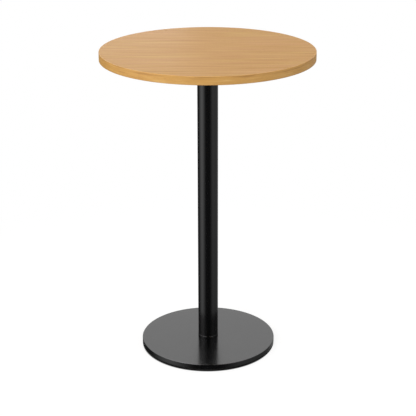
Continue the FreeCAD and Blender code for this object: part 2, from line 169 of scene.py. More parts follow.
class BarTableColumnSizes(bpy.types.PropertyGroup):
    """Sizes of the column, its foot, the tie rod and the fasteners"""

    radius: length("Column radius", "Outside radius of the tube", side("column_tube", HIGH, X))
    foot: length("Column foot", "Height of the tube's lower end", side("column_tube", LOW, Z))
    head: length("Column head", "Height of the tube's upper end", side("column_tube", HIGH, Z))
    wall: length("Tube wall", "Wall of the tube", 0.002)
    end_round: length("Tube end rounding", "Rounding of the tube's outer edges", 0.0006)
    collar_radius: length("Collar radius", "Outside radius of the foot collar", side("foot_collar", HIGH, X))
    collar_round: length("Collar rounding", "Rounding of the foot collar's upper edge", 0.001)
    rod_radius: length("Rod radius", "Radius of the tie rod", side("tie_rod", HIGH, X))
    rod_bottom: length("Rod bottom", "Height of the tie rod's lower end", side("tie_rod", LOW, Z))
    rod_top: length("Rod top", "Height of the tie rod's upper end", side("tie_rod", HIGH, Z))
    rod_pitch: length("Rod pitch", "Pitch of the tie rod's thread", 0.00175)
    rod_threaded: length("Threaded ends", "Length of thread at each end of the tie rod", 0.045)
    rod_chamfer: length("Rod chamfer", "Chamfer at the tie rod's ends", 0.001)
    nut_flats: length("Nut flats", "Width of the nuts across their flats", 0.018)
    nut_drop: length("Nut chamfer", "How far a nut's corners are turned down", 0.001)
    hole_fit: length("Hole fit", "Room round a rod or screw in its hole", 0.00005)
    rod_clearance: length("Rod clearance", "Room round the rod in what it passes through", 0.00075)
    spigot_fit: length("Spigot fit", "Room round a spigot in the tube", 0.0002)
    washer_split: angle("Washer split", "Half of the spring washer's split, round its axis", 0.07)


class BarTableScrewSizes(bpy.types.PropertyGroup):
    """Sizes of the board's screws and washers"""

    outer_circle: length("Outer screws", "Column axis to the outer screws", 0.165)
    inner_circle: length("Inner screws", "Column axis to the inner screws", 0.095)
    radius: length("Screw radius", "Radius of the screw's shank", 0.003)
    head_radius: length("Head radius", "Radius of the screw's domed head", 0.00525)
    head_height: length("Head height", "Height of the screw's head", 0.0033)
    head_rim: length("Head rim", "Straight edge of the head", 0.0008)
    socket_flats: length("Socket flats", "Width of the hexagonal socket", 0.004)
    socket_depth: length("Socket depth", "Depth of the hexagonal socket", 0.002)
    socket_cone: length("Socket cone", "Depth of the cone in the socket's floor", 0.0003)
    socket_mouth: length("Socket mouth", "Height where the socket opens from hexagonal to round", 0.0001)
    washer_radius: length("Washer radius", "Outside radius of the washer", 0.00625)
    washer_top: length("Washer top", "Height of the washer's upper face", side("top_washers", HIGH, Z))
    washer_bottom: length("Washer bottom", "Height of the washer's lower face", side("top_washers", LOW, Z))
    end: length("Screw end", "Height of the screw's point", side("top_screws", HIGH, Z))
    point: length("Screw point", "Chamfer at the screw's end", 0.0008)
    edge: length("Edge break", "Small rounding on turned and pressed edges", 0.0003)


class BarTableBaseSizes(bpy.types.PropertyGroup):
    """Sizes of the base, its rubber ring and the glides"""

    radius: length("Base radius", "Outside radius of the base cover", side("base_cover", HIGH, X))
    top: length("Base top", "Height of the base cover's top", side("base_cover", HIGH, Z))
    rim_bottom: length("Rim bottom", "Height of the rim's lower edge", side("base_cover", LOW, Z))
    sheet: length("Cover sheet", "Thickness of the cover's sheet", 0.0012)
    bend: length("Cover bend", "Inside radius of the bend at the cover's rim", 0.0006)
    ring_radius: length("Ring radius", "Outside radius of the rubber ring", side("floor_ring", HIGH, X))
    ring_bottom: length("Ring bottom", "Height of the ring's underside", side("floor_ring", LOW, Z))
    ring_top: length("Ring top", "Height of the top of the ring's leg", side("floor_ring", HIGH, Z))
    ring_leg: length("Ring leg", "Thickness of the ring's leg", 0.0022)
    ring_leg_fit: length("Ring leg fit", "Room on each side of the ring's leg", 0.0002)
    ring_lip: length("Ring lip", "How far the ring reaches in under the ballast", 0.005)
    ring_round: length("Ring rounding", "Rounding of the ring's lower edge", 0.0005)
    pad_top: length("Pad top", "Height of a glide pad's upper face", side("glide_pad_1", HIGH, Z))
    pad_round: length("Pad rounding", "Rounding of a glide pad's edges", 0.0015)
    stud_radius: length("Stud radius", "Radius of a glide's thread", 0.004)
    stud_pitch: length("Stud pitch", "Pitch of a glide's thread", 0.00125)
    stud_top: length("Stud top", "Height of a glide stud's end", side("glide_stud_1", HIGH, Z))
    stud_bottom: length("Stud bottom", "Height of the end of a stud's pin", side("glide_stud_1", LOW, Z))
    collar_flats: length("Collar flats", "Width of a stud's hexagonal collar", 0.014)
    collar_top: length("Collar top", "Height of the top of a stud's collar", 0.0097)


class BarTableWoodLook(bpy.types.PropertyGroup):
    """Colours of the wood"""

    pale: tint("Pale grain", "Lightest wood of the face", 207, 168, 106)
    middle: tint("Middle grain", "Middle wood of the face", 195, 151, 82)
    pink: tint("Pink grain", "Warmer bands of the face", 197, 146, 97)
    dark: tint("Dark grain", "Darkest lines of the face", 177, 125, 62)
    pore: tint("Pores", "Open pores of the face", 134, 92, 48)
    edge_pale: tint("Pale edge grain", "Lightest wood of the edge band", 229, 183, 106)
    edge_warm: tint("Warm edge grain", "Middle wood of the edge band", 212, 158, 76)
    edge_dark: tint("Dark edge grain", "Darkest streaks of the edge band", 178, 122, 50)
    chip_pale: tint("Pale chips", "Lightest chips of the board's core", 205, 176, 130)
    chip_dark: tint("Dark chips", "Darkest chips of the board's core", 120, 88, 54)
    roughness: share("Lacquer roughness", "Roughness of the lacquer", 0.5)
    gloss: share("Lacquer gloss", "Specular level of the lacquer on the face", 0.1)
    edge_gloss: share("Edge gloss", "Specular level of the lacquer on the edge strip", 1.0)
    edge_middle: length("Edge middle", "Height of the middle of the edge strip",
                        (side("edge_band", LOW, Z) + side("edge_band", HIGH, Z)) / 2)
    edge_half: length("Edge half", "Half of the edge strip's height",
                      (side("edge_band", HIGH, Z) - side("edge_band", LOW, Z)) / 2)


class BarTableMetalLook(bpy.types.PropertyGroup):
    """Colours of the metal, rubber and plastic"""

    black: tint("Black paint", "Powder coat of the column, base and spider", 8, 8, 9)
    dust: tint("Dust", "Dust in corners and on flat faces", 120, 116, 110)
    black_roughness: share("Paint roughness", "Roughness of the powder coat", 0.18)
    black_ior: level("Paint refraction", "Index of refraction of the powder coat", 1.7)
    zinc: tint("Zinc plate", "Plated screws, nuts and washers", 190, 192, 196)
    steel: tint("Turned steel", "Bare turned steel", 150, 148, 145)
    iron: tint("Primed iron", "Grey primer on the ballast", 62, 63, 66)
    rust: tint("Rust", "Rusty patches on the ballast", 96, 58, 38)
    oxide: tint("Black oxide", "Blackened screws", 30, 31, 33)
    oxide_worn: tint("Worn oxide", "Where the black is worn off the screws", 70, 62, 56)
    rubber: tint("Rubber", "Ring round the base", 14, 14, 14)
    plastic: tint("Plastic", "Pads of the glides", 22, 22, 23)


class BarTableStage(bpy.types.PropertyGroup):
    """Camera, light and floor"""

    camera_place: bpy.props.FloatVectorProperty(name="Camera", description="Place of the camera", size=3,
                                                default=(0.0003, -4.2258, 2.0847), subtype="TRANSLATION")
    camera_tilt: angle("Tilt", "How far the camera looks down", 0.3528)
    camera_roll: angle("Roll", "Turn of the camera about its view", -0.0021)
    camera_zoom: level("Zoom", "Lens length as a share of the sensor's width", 3.0011)
    ambient: level("Ambient", "Light that comes from all round", 0.63)
    overhead: level("Overhead light", "Power of the large light above, in watts", 17.7)
    key: level("Key light", "Power of the light in front on the left, in watts", 35.0)
    sheen: level("Sheen light", "Power of the gloss-only light behind on the left, in watts", 0.75)
    floor_reach: length("Floor reach", "Middle of the floor to its sides", 30.0)
    shadow: share("Shadow", "How much of the floor's real light the camera sees near the table", 0.3)
    shadow_start: length("Shadow start", "Radius where the soft shadow starts to fade out", 0.5)
    shadow_end: length("Shadow end", "Radius where the soft shadow has gone", 1.6)
    lit: level("Lit floor", "How light the open floor is in the real light", 0.6)
    contact_start: length("Contact start", "Radius where the contact shadow starts to clear", 0.2375)
    contact_end: length("Contact end", "Radius where the contact shadow ends", 0.2445)
    contact_shift: length("Contact shift", "How far the contact shadow lies to the front", 0.009)
    contact_aside: length("Contact aside", "How far the contact shadow lies to the left", 0.0015)
    low_glow: level("Low glow", "Brightness of what gloss sees round the table", 1.0)
    back_glow: level("Back glow", "Brightness of what gloss sees high behind the table", 1.1)
    front_glow: level("Front glow", "Brightness of what gloss sees high in front, to both sides", 4.6)
    floor: tint("Floor", "Colour of the floor", 244, 244, 244)


# Surfaces

class Shell:
    """Points, faces and face corners' UV of one closed surface, as whole arrays."""

    def __init__(self, points, faces, uv):
        self.points = points
        self.faces = faces
        self.uv = uv

    def moved(self, matrix):
        """A copy with every point carried by a 4 by 4 matrix."""
        turn = np.array(matrix)
        return Shell(self.points @ turn[:3, :3].T + turn[:3, 3], self.faces, self.uv)

    @staticmethod
    def joined(shells):
        """One shell of several: each one's face numbers start after the points before it."""
        starts = np.cumsum([0] + [len(shell.points) for shell in shells[:-1]])
        faces = np.vstack([shell.faces + start for shell, start in zip(shells, starts)])
        return Shell(np.vstack([s.points for s in shells]), faces, np.vstack([s.uv for s in shells]))


def outward(points, faces):
    """The faces, turned round if they enclose a negative volume so that they point outwards, and whether
    they were.

    The volume is a sixth of the sum of p0 . (p1 x p2) over two triangles of each face.
    """
    a, b, c, d = (points[faces[:, k]] for k in range(4))
    volume = np.einsum("ij,ij->", a, np.cross(b, c)) + np.einsum("ij,ij->", a, np.cross(c, d))
    return (faces, False) if volume >= 0 else (faces[:, ::-1], True)


def grid_shell(points, across, along, wrap_across=False, wrap_along=False, caps=()):
    """A shell from points[i, j]: quads join the neighbours in i and in j, and wrap round where asked.

    across[i] and along[j] are the UV in metres of the grid's lines, with one more where it wraps.
    caps are extra faces, as rows of four point numbers, whose UV is their plan.
    """
    rows, columns = points.shape[:2]
    i = np.arange(rows if wrap_across else rows - 1)[:, None]
    j = np.arange(columns if wrap_along else columns - 1)[None, :]
    i_next, j_next = (i + 1) % rows, (j + 1) % columns
    corners = [i * columns + j, i_next * columns + j, i_next * columns + j_next, i * columns + j_next]
    faces = np.stack(np.broadcast_arrays(*corners), -1).reshape(-1, 4)
    ends = [(across[i], along[j]), (across[i + 1], along[j]),
            (across[i + 1], along[j + 1]), (across[i], along[j + 1])]
    uv = np.stack([np.stack(np.broadcast_arrays(*end), -1) for end in ends], 2).reshape(-1, 4, 2)
    flat = points.reshape(-1, 3)
    if len(caps):
        faces = np.vstack([faces, caps])
        uv = np.vstack([uv, flat[caps][:, :, :2]])
    faces, flipped = outward(flat, faces)
    return Shell(flat, faces, uv[:, ::-1] if flipped else uv)


def rounded(corners, closed=True):
    """An outline through corners (radius, height, rounding), each corner turned into an arc.

    An arc touches both sides at rounding x tan(turn / 2) from the corner, and its points are the
    centre plus the rounding times cos and sin of equal steps. A point a little way along each side
    keeps the flat stretch's shading flat.
    """
    points = [np.array(corner[:2], float) for corner in corners]
    outline = []
    for k, corner in enumerate(corners):
        size = corner[2] if len(corner) > 2 else 0
        here, before, after = points[k], points[k - 1], points[(k + 1) % len(points)]
        if size == 0 or (not closed and k in (0, len(points) - 1)):
            outline.append(here)
            continue
        back = (before - here) / np.linalg.norm(before - here)
        ahead = (after - here) / np.linalg.norm(after - here)
        half = math.acos(np.clip(back @ ahead, -1, 1)) / 2
        reach = size / math.tan(half)
        middle = (back + ahead) / np.linalg.norm(back + ahead)
        centre = here + middle * size / math.sin(half)
        start, end = here + back * reach - centre, here + ahead * reach - centre
        sweep = math.atan2(start[0] * end[1] - start[1] * end[0], start @ end)
        angles = math.atan2(start[1], start[0]) + np.linspace(0, sweep, ROUND_STEPS)
        arc = centre + size * np.stack([np.cos(angles), np.sin(angles)], -1)
        support = size * SUPPORT_SHARE
        outline += [here + back * (reach + support), *arc, here + ahead * (reach + support)]
    return np.array(outline)


def run_of(outline, closed):
    """How far along an outline each of its points is, with the whole length last where it closes."""
    line = np.vstack([outline, outline[:1]]) if closed else outline
    return np.concatenate([[0], np.cumsum(np.linalg.norm(np.diff(line, axis=0), axis=1))])


def hexagon(flats, bearing):
    """Radius of a hexagon at a bearing: half its flats / cos(angle from the nearest flat's middle)."""
    return flats / 2 / np.cos((bearing + SIXTH / 2) % SIXTH - SIXTH / 2)


def coned_blank(flats, low, high, drop, points):
    """Outline of a hexagonal blank from one height to another, coned at both ends.

    Over the drop at each end, the radius runs straight from half the flats to the hexagon's corner.
    """
    flat, corner = flats / 2, hexagon(flats, SIXTH / 2)
    cone = np.linspace(0, 1, points)
    lower = np.stack([flat + (corner - flat) * cone, low + drop * cone], -1)
    upper = np.stack([corner - (corner - flat) * cone, high - drop * (1 - cone)], -1)
    return np.vstack([lower, upper])


def end_caps(rows, count):
    """Quads that close the first and last of a grid's rows, each an outline of an even count of points.

    A quad joins points k and k + 1 to the two that are as far from the outline's end.
    """
    k = np.arange(count // 2 - 1)
    cap = np.stack([k, k + 1, count - 2 - k, count - 1 - k], -1)
    return np.vstack([cap[:, ::-1], cap + (rows - 1) * count])


def lathe(outline, steps, closed=True, flats=None, thread=None, pitch=1.0):
    """An outline of (radius, height) turned about Z: (r cos a, r sin a, z) for equal steps of a.

    Where flats[j] is given, the radius there is cut down to that hexagon's. Where thread[j] is
    given, the radius loses thread[j] x |2 frac(z / pitch - a / turn) - 1|, a helical groove.
    """
    bearing = np.linspace(0, TURN, steps, endpoint=False)[:, None]
    radius = np.broadcast_to(outline[None, :, 0], (steps, len(outline))).copy()
    if flats is not None:
        given = flats > 0
        radius[:, given] = np.minimum(radius[:, given], hexagon(flats[given][None, :], bearing))
    if thread is not None:
        turns = outline[None, :, 1] / pitch - bearing / TURN
        radius = radius - thread[None, :] * np.abs(2 * (turns % 1) - 1)
    height = np.broadcast_to(outline[None, :, 1], radius.shape)
    points = np.stack([radius * np.cos(bearing), radius * np.sin(bearing), height], -1)
    around = np.linspace(0, TURN * outline[:, 0].max(), steps + 1)
    return grid_shell(points, around, run_of(outline, closed), wrap_across=True, wrap_along=closed)


def bent_strip(outline, start, end, steps):
    """An outline of an even count of points carried round Z from one angle to another, its ends closed.

    A point is (r cos a, r sin a, z) for equal steps of a from start to end.
    """
    bearing = np.linspace(start, end, steps + 1)[:, None]
    radius = outline[None, :, 0]
    height = np.broadcast_to(outline[None, :, 1], (steps + 1, len(outline)))
    points = np.stack([radius * np.cos(bearing), radius * np.sin(bearing), height], -1)
    around = bearing[:, 0] * outline[:, 0].max()
    return grid_shell(points, around, run_of(outline, True), wrap_along=True,
                      caps=end_caps(steps + 1, len(outline)))


def tube_along(path, radius, steps):
    """Circles of radius[i] round the points of a path, at right angles to it.

    Each is path + radius x (side cos a + up sin a), where side and up are at right angles to the
    path's direction there. A radius of zero at an end closes it.
    """
    off_the_path = np.array([0.31, 0.17, 0.94])  # any direction that no path follows
    ahead = np.gradient(path, axis=0)
    ahead /= np.linalg.norm(ahead, axis=1, keepdims=True)
    across = np.cross(ahead, off_the_path)
    across /= np.linalg.norm(across, axis=1, keepdims=True)
    upward = np.cross(ahead, across)
    bearing = np.linspace(0, TURN, steps, endpoint=False)[None, :, None]
    ring = across[:, None, :] * np.cos(bearing) + upward[:, None, :] * np.sin(bearing)
    points = path[:, None, :] + ring * radius[:, None, None]
    around = np.linspace(0, TURN * np.max(radius), steps + 1)
    return grid_shell(points, run_of(path, False), around, wrap_along=True)


def turned_about_z(turn, offset=(0, 0, 0)):
    """The matrix that first shifts by an offset, then turns about the column's axis."""
    return Matrix.Rotation(turn, 4, "Z") @ Matrix.Translation(offset)


def add_piece(name, shell, material, body=TABLE_BODY, replaces=()):
    """Puts a shell into the scene as an object at the origin that rides on a body."""
    mesh = bpy.data.meshes.new(name)
    mesh.from_pydata(shell.points.tolist(), [], shell.faces.tolist())
    mesh.uv_layers.new(name="Surface").data.foreach_set("uv", shell.uv.astype(np.float32).ravel())
    work = bmesh.new()
    work.from_mesh(mesh)
    bmesh.ops.remove_doubles(work, verts=work.verts, dist=MERGE_DISTANCE)
    work.to_mesh(mesh)
    work.free()
    mesh.polygons.foreach_set("use_smooth", np.ones(len(mesh.polygons), bool))
    mesh.set_sharp_from_angle(angle=SHARP_ANGLE)
    mesh.materials.append(material)
    piece = bpy.data.objects.new(name, mesh)
    bpy.context.scene.collection.objects.link(piece)
    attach(piece, body)
    if replaces:
        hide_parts(*replaces)


def finish_node(node, material):
    """Gives a construction node its finish."""
    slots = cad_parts[node].data.materials
    slots.clear()
    slots.append(material)


# Shader building

class Socket:
    """A node's output in Python arithmetic. Each operation adds one Math node."""

    def __init__(self, nodes, output):
        self.nodes = nodes
        self.output = output

    def math(self, operation, *values):
        """One Math node on the values given."""
        return self.nodes.add("ShaderNodeMath", {"operation": operation}, dict(enumerate(values)))

    def __add__(self, other):
        return self.math("ADD", self, other)

    def __sub__(self, other):
        return self.math("SUBTRACT", self, other)

    def __rsub__(self, other):
        return self.math("SUBTRACT", other, self)

    def __mul__(self, other):
        return self.math("MULTIPLY", self, other)

    def __truediv__(self, other):
        return self.math("DIVIDE", self, other)

    def __pow__(self, other):
        return self.math("POWER", self, other)

    def __neg__(self):
        return self.math("MULTIPLY", self, -1.0)

    def __abs__(self):
        return self.math("ABSOLUTE", self)

    __radd__ = __add__
    __rmul__ = __mul__

    def clamped(self, low, high):
        """The value, but no less than low and no more than high."""
        return self.math("MINIMUM", self.math("MAXIMUM", self, low), high)

    def smooth(self, low, high):
        """0 below low and 1 above high, with a smooth step between."""
        return self.nodes.add("ShaderNodeMapRange", {"interpolation_type": "SMOOTHSTEP"},
                              {"Value": self, "From Min": low, "From Max": high})


class Nodes:
    """Fills one node tree. add makes any node: its settings first, then its sockets' values or links."""

    def __init__(self, owner):
        owner.use_nodes = True
        self.tree = owner.node_tree
        self.tree.nodes.clear()

    def add(self, kind, settings=None, inputs=None, output=0):
        """One node, and the output asked for."""
        node = self.tree.nodes.new(kind)
        for name, value in (settings or {}).items():
            setattr(node, name, value)
        for name, value in (inputs or {}).items():
            if isinstance(value, Socket):
                self.tree.links.new(value.output, node.inputs[name])
            else:
                node.inputs[name].default_value = value
        return Socket(self, node.outputs[output]) if len(node.outputs) else None

    def ramp(self, value, stops, easing="LINEAR"):
        """A colour for each value from 0 to 1, by stops of a place and a colour."""
        made = self.add("ShaderNodeValToRGB", inputs={0: value})
        ramp = made.output.node.color_ramp
        ramp.interpolation = easing
        while len(ramp.elements) < len(stops):
            ramp.elements.new(1.0)
        for element, (place, shade) in zip(ramp.elements, stops):
            element.position = place
            element.color = (*shade, 1.0)
        return made

    def coordinates(self, kind="Object"):
        """Places on the piece in metres, its UV, or another of Texture Coordinate's outputs."""
        return self.add("ShaderNodeTexCoord", output=kind)

    def stretched(self, vector, scale):
        """A vector times another, part by part."""
        return self.add("ShaderNodeVectorMath", {"operation": "MULTIPLY"}, {0: vector, 1: scale})

    def parts(self, vector):
        """The x, y and z of a vector."""
        split = self.add("ShaderNodeSeparateXYZ", inputs={0: vector})
        return [Socket(self, split.output.node.outputs[k]) for k in range(3)]

    def vector(self, x, y):
        """A level vector of two numbers."""
        return self.add("ShaderNodeCombineXYZ", inputs={0: x, 1: y})

    def noise(self, vector, scale=1.0, detail=2.0, rough=0.5, distortion=0.0):
        """Smooth noise round 0.5. detail adds finer layers, each rough times as strong as the last."""
        return self.add("ShaderNodeTexNoise", inputs={
            "Vector": vector, "Scale": scale, "Detail": detail, "Roughness": rough,
            "Distortion": distortion})

    def mix(self, first, second, factor):
        """A colour between two."""
        full = [(*c, 1.0) if isinstance(c, tuple) else c for c in (first, second)]
        return self.add("ShaderNodeMix", {"data_type": "RGBA", "clamp_factor": True},
                        {0: factor, 6: full[0], 7: full[1]}, output=2)

    def bump(self, height, depth):
        """The surface's normal over a relief whose height of 1 is the depth in metres."""
        return self.add("ShaderNodeBump", inputs={"Height": height, "Distance": depth})

    def principled(self, **inputs):
        """A Principled shader. An underscore in a name stands for the space in the socket's."""
        named = {name.replace("_", " "): value for name, value in inputs.items()}
        fixed = {name: (*v, 1.0) if isinstance(v, tuple) else v for name, v in named.items()}
        return self.add("ShaderNodeBsdfPrincipled", inputs=fixed)

    def surface(self, **inputs):
        """The Principled shader and the material's output."""
        self.add("ShaderNodeOutputMaterial", inputs={"Surface": self.principled(**inputs)})


def colour(value):
    """A colour property as a plain tuple."""
    return tuple(value)


def new_material(name):
    """An empty material and the filler of its node tree."""
    material = bpy.data.materials.new(name)
    return material, Nodes(material)


# Finishes

# Features of the grain to a metre, along it and across it
DRIFT = (1.1, 2.2)
WIDE_BANDS = (3.2, 62.0)
FINE_LINES = (3.2, 250.0)
FIBRES = (16.0, 1200.0)
PORE_DASHES = (75.0, 2600.0)
WARM_BANDS = (2.4, 90.0)
WARM_SHIFT = 7.0 / WARM_BANDS[1]  # moves the warm bands across the grain, in metres
EDGE_SWIRL = (14.0, 190.0)
BACK_SHIFT = 0.31  # moves the backing veneer's grain across, so that it isn't the face's, in metres
WANDER = 0.03  # how far the lines wander across the grain, in metres
VENEER_RELIEF = 0.00006  # depth of the pores under the lacquer


def drawn_out(nodes, along, across, to_a_metre, scale=1.0, **noise):
    """Noise with so many features to a metre along and across the grain, times the scale."""
    place = nodes.vector(along * (to_a_metre[0] * scale), across * (to_a_metre[1] * scale))
    return nodes.noise(place, **noise)


def wood_grain(nodes, along, across, scale):
    """Straight grain. Returns its bands, its fibres and its pores, each from 0 to 1.

    The bands are wide ones, fine lines and fibres added up: noise drawn out along the grain, over
    lines that wander a little. Pores are the narrow peaks of the finest noise, between the paler
    lines.
    """
    drift = drawn_out(nodes, along, across, DRIFT, scale, detail=1.0)
    wander = across + (drift - 0.5) * (WANDER / scale)
    wide = drawn_out(nodes, along, wander, WIDE_BANDS, scale, detail=2.0)
    lines = drawn_out(nodes, along, wander, FINE_LINES, scale, detail=3.0, rough=0.6)
    fibres = drawn_out(nodes, along, wander, FIBRES, scale, detail=2.0)
    dashes = drawn_out(nodes, along, wander, PORE_DASHES, scale, detail=1.0)
    bands = wide * 0.42 + lines * 0.38 + fibres * 0.2
    pores = dashes.smooth(0.61, 0.68) * (1 - lines).smooth(0.42, 0.58)
    return bands, fibres, pores


def lacquer(nodes, look, fibres, pores):
    """Roughness and normal of lacquered wood: fibres and pores are duller, and pores dip."""
    rough = fibres * 0.16 + pores * 0.12 + (look.roughness - 0.08)
    return {"Roughness": rough, "Normal": nodes.bump(fibres * 0.4 - pores, VENEER_RELIEF)}


def make_wood_face(look):
    """Lacquered veneer with straight grain along X."""
    material, nodes = new_material("face_finish")
    x, y, _ = nodes.parts(nodes.coordinates())
    bands, fibres, pores = wood_grain(nodes, x, y, 1.0)
    base = nodes.ramp(bands, [(0.39, colour(look.dark)), (0.5, colour(look.middle)),
                              (0.6, colour(look.pale))])
    warmth = drawn_out(nodes, x, y + WARM_SHIFT, WARM_BANDS, detail=3.0, rough=0.6)
    base = nodes.mix(base, colour(look.pink), warmth.smooth(0.35, 0.65) * 0.8)
    base = nodes.mix(base, colour(look.pore), pores * 0.5)
    nodes.surface(Base_Color=base, Specular_IOR_Level=look.gloss, **lacquer(nodes, look, fibres, pores))
    return material


def make_wood_edge(look):
    """Lacquered edge strip with its grain along the edge, read from the strip's own UV.

    It is painted a little darker upwards, as shade, and its lowest stretch is painted dark: a painted shadow
    line under the edge.
    """
    material, nodes = new_material("edge_finish")
    u, v, _ = nodes.parts(nodes.coordinates("UV"))
    bands, fibres, pores = wood_grain(nodes, u, v, 1.6)
    swirl = drawn_out(nodes, u, v, EDGE_SWIRL, detail=1.0, distortion=0.4)
    _, _, height = nodes.parts(nodes.coordinates())
    rise = (height - look.edge_middle) / look.edge_half
    # Painted shade: the grain is shifted darker towards the top of the strip
    bands = bands * 0.62 + swirl * 0.38 - rise * 0.045
    base = nodes.ramp(bands, [(0.34, colour(look.edge_dark)), (0.46, colour(look.edge_warm)),
                              (0.54, colour(look.edge_warm)), (0.66, colour(look.edge_pale))])
    base = nodes.mix(base, colour(look.pore), pores * 0.6)
    # Painted shadow line: the lowest stretch of the strip is mixed towards the dark grain colour
    base = nodes.mix(base, colour(look.edge_dark), 0.8 - rise.smooth(-1.0, -0.75) * 0.8)
    nodes.surface(Base_Color=base, Specular_IOR_Level=look.edge_gloss,
                  **lacquer(nodes, look, fibres, pores))
    return material


def make_wood_back(look):
    """Backing veneer without lacquer, duller than the face, with its grain along X."""
    material, nodes = new_material("back_finish")
    x, y, _ = nodes.parts(nodes.coordinates())
    bands, fibres, pores = wood_grain(nodes, x, y + BACK_SHIFT, 0.8)
    base = nodes.ramp(bands, [(0.36, colour(look.edge_dark)), (0.5, colour(look.middle)),
                              (0.64, colour(look.pale))])
    base = nodes.mix(base, colour(look.pore), pores * 0.6)
    nodes.surface(Base_Color=base, Roughness=fibres * 0.2 + 0.6, Specular_IOR_Level=0.25,
                  Normal=nodes.bump(fibres - pores, depth=0.0001))
    return material


CHIPS = (260.0, 260.0, 900.0)  # chips to a metre along X, Y and Z


def make_chipboard(look):
    """Pressed chips: cells of random lightness, wider than they are thick."""
    material, nodes = new_material("board_finish")
    place = nodes.stretched(nodes.coordinates(), CHIPS)
    warp = nodes.noise(place, scale=0.8)
    cells = nodes.add("ShaderNodeTexVoronoi", {"feature": "F1"}, {"Vector": place}, output="Color")
    shade, _, _ = nodes.parts(cells)
    base = nodes.mix(colour(look.chip_dark), colour(look.chip_pale), shade * 0.7 + warp * 0.3)
    nodes.surface(Base_Color=base, Roughness=0.9, Normal=nodes.bump(shade, depth=0.0002))
    return material


def make_black_paint(look):
    """Satin powder coat: fine orange peel, faint rubbed patches and a little dust on top."""
    material, nodes = new_material("paint_finish")
    place = nodes.coordinates()
    peel = nodes.noise(place, scale=420.0, detail=2.0)
    grit = nodes.noise(place, scale=1900.0, detail=1.0)
    patches = nodes.noise(place, scale=14.0, detail=3.0, rough=0.6)
    _, _, facing = nodes.parts(nodes.add("ShaderNodeNewGeometry", output="Normal"))
    specks = nodes.noise(place, scale=700.0, detail=0.0).smooth(0.74, 0.8) * facing.smooth(0.6, 0.95)
    base = nodes.mix(colour(look.black), colour(look.dust), specks * patches.smooth(0.5, 0.7) * 0.25)
    rough = patches * 0.07 + specks * 0.1 + (look.black_roughness - 0.035)
    nodes.surface(Base_Color=base, Roughness=rough, IOR=look.black_ior,
                  Normal=nodes.bump(peel * 0.8 + grit * 0.2, depth=0.00003))
    return material


SCRATCHES = (300.0, 4000.0, 4000.0)  # fine scratches to a metre: drawn out along X


def make_zinc(look):
    """Bright zinc plate with faint cloudy spangle and fine scratches."""
    material, nodes = new_material("zinc_finish")
    place = nodes.coordinates()
    cloud = nodes.noise(place, scale=500.0, detail=3.0)
    scratch = nodes.noise(nodes.stretched(place, SCRATCHES), detail=1.0)
    base = nodes.mix(colour(look.zinc), colour(look.steel), cloud.smooth(0.35, 0.7) * 0.6)
    nodes.surface(Base_Color=base, Metallic=1.0, Roughness=cloud * 0.2 + scratch * 0.12 + 0.16,
                  Normal=nodes.bump(scratch, depth=0.00001))
    return material


LATHE_RINGS = 5000.0  # to a metre


def make_turned_steel(look):
    """Bare steel with rings left by the lathe: noise of the distance from the column's axis."""
    material, nodes = new_material("steel_finish")
    place = nodes.coordinates()
    x, y, z = nodes.parts(place)
    radius = (x * x + y * y) ** 0.5
    rings = nodes.noise(nodes.vector(radius * LATHE_RINGS, z * LATHE_RINGS), detail=1.0)
    film = nodes.noise(place, scale=90.0, detail=3.0)
    base = nodes.mix(colour(look.steel), colour(look.iron), film.smooth(0.4, 0.75) * 0.5)
    nodes.surface(Base_Color=base, Metallic=1.0, Roughness=rings * 0.15 + film * 0.15 + 0.22,
                  Normal=nodes.bump(rings, depth=0.00002))
    return material


def make_primed_iron(look):
    """Sand-cast iron under grey primer: pitted, with duller and rustier patches."""
    material, nodes = new_material("iron_finish")
    place = nodes.coordinates()
    sand = nodes.noise(place, scale=520.0, detail=4.0, rough=0.65)
    lumps = nodes.noise(place, scale=60.0, detail=3.0)
    damp = nodes.noise(place, scale=22.0, detail=5.0, rough=0.7)
    rust = damp.smooth(0.66, 0.78) * sand.smooth(0.45, 0.6)
    base = nodes.mix(colour(look.iron), colour(look.black), lumps * 0.5)
    base = nodes.mix(base, colour(look.rust), rust * 0.5)
    nodes.surface(Base_Color=base, Roughness=sand * 0.25 + 0.5,
                  Normal=nodes.bump(sand + lumps, depth=0.00025))
    return material


def make_black_oxide(look):
    """Blackened steel, slightly worn to brown."""
    material, nodes = new_material("screw_finish")
    place = nodes.coordinates()
    worn = nodes.noise(place, scale=900.0, detail=3.0)
    base = nodes.mix(colour(look.oxide), colour(look.oxide_worn), worn.smooth(0.55, 0.75) * 0.5)
    nodes.surface(Base_Color=base, Metallic=0.6, Roughness=worn * 0.25 + 0.28,
                  Normal=nodes.bump(worn, depth=0.00001))
    return material


def make_rubber(look):
    """Matt rubber with a faint bloom and fine pitting."""
    material, nodes = new_material("rubber_finish")
    place = nodes.coordinates()
    pits = nodes.noise(place, scale=1400.0, detail=2.0)
    bloom = nodes.noise(place, scale=35.0, detail=4.0, rough=0.6)
    base = nodes.mix(colour(look.rubber), colour(look.dust), bloom.smooth(0.6, 0.9) * 0.06)
    nodes.surface(Base_Color=base, Roughness=bloom * 0.15 + 0.68, Specular_IOR_Level=0.3,
                  Normal=nodes.bump(pits, depth=0.00004))
    return material


def make_black_plastic(look):
    """Moulded plastic with an eroded texture."""
    material, nodes = new_material("plastic_finish")
    place = nodes.coordinates()
    eroded = nodes.noise(place, scale=2200.0, detail=2.0)
    wear = nodes.noise(place, scale=160.0, detail=3.0)
    base = nodes.mix(colour(look.plastic), colour(look.dust), wear.smooth(0.62, 0.85) * 0.1)
    nodes.surface(Base_Color=base, Roughness=eroded * 0.12 + wear * 0.1 + 0.38,
                  Normal=nodes.bump(eroded, depth=0.00002))
    return material


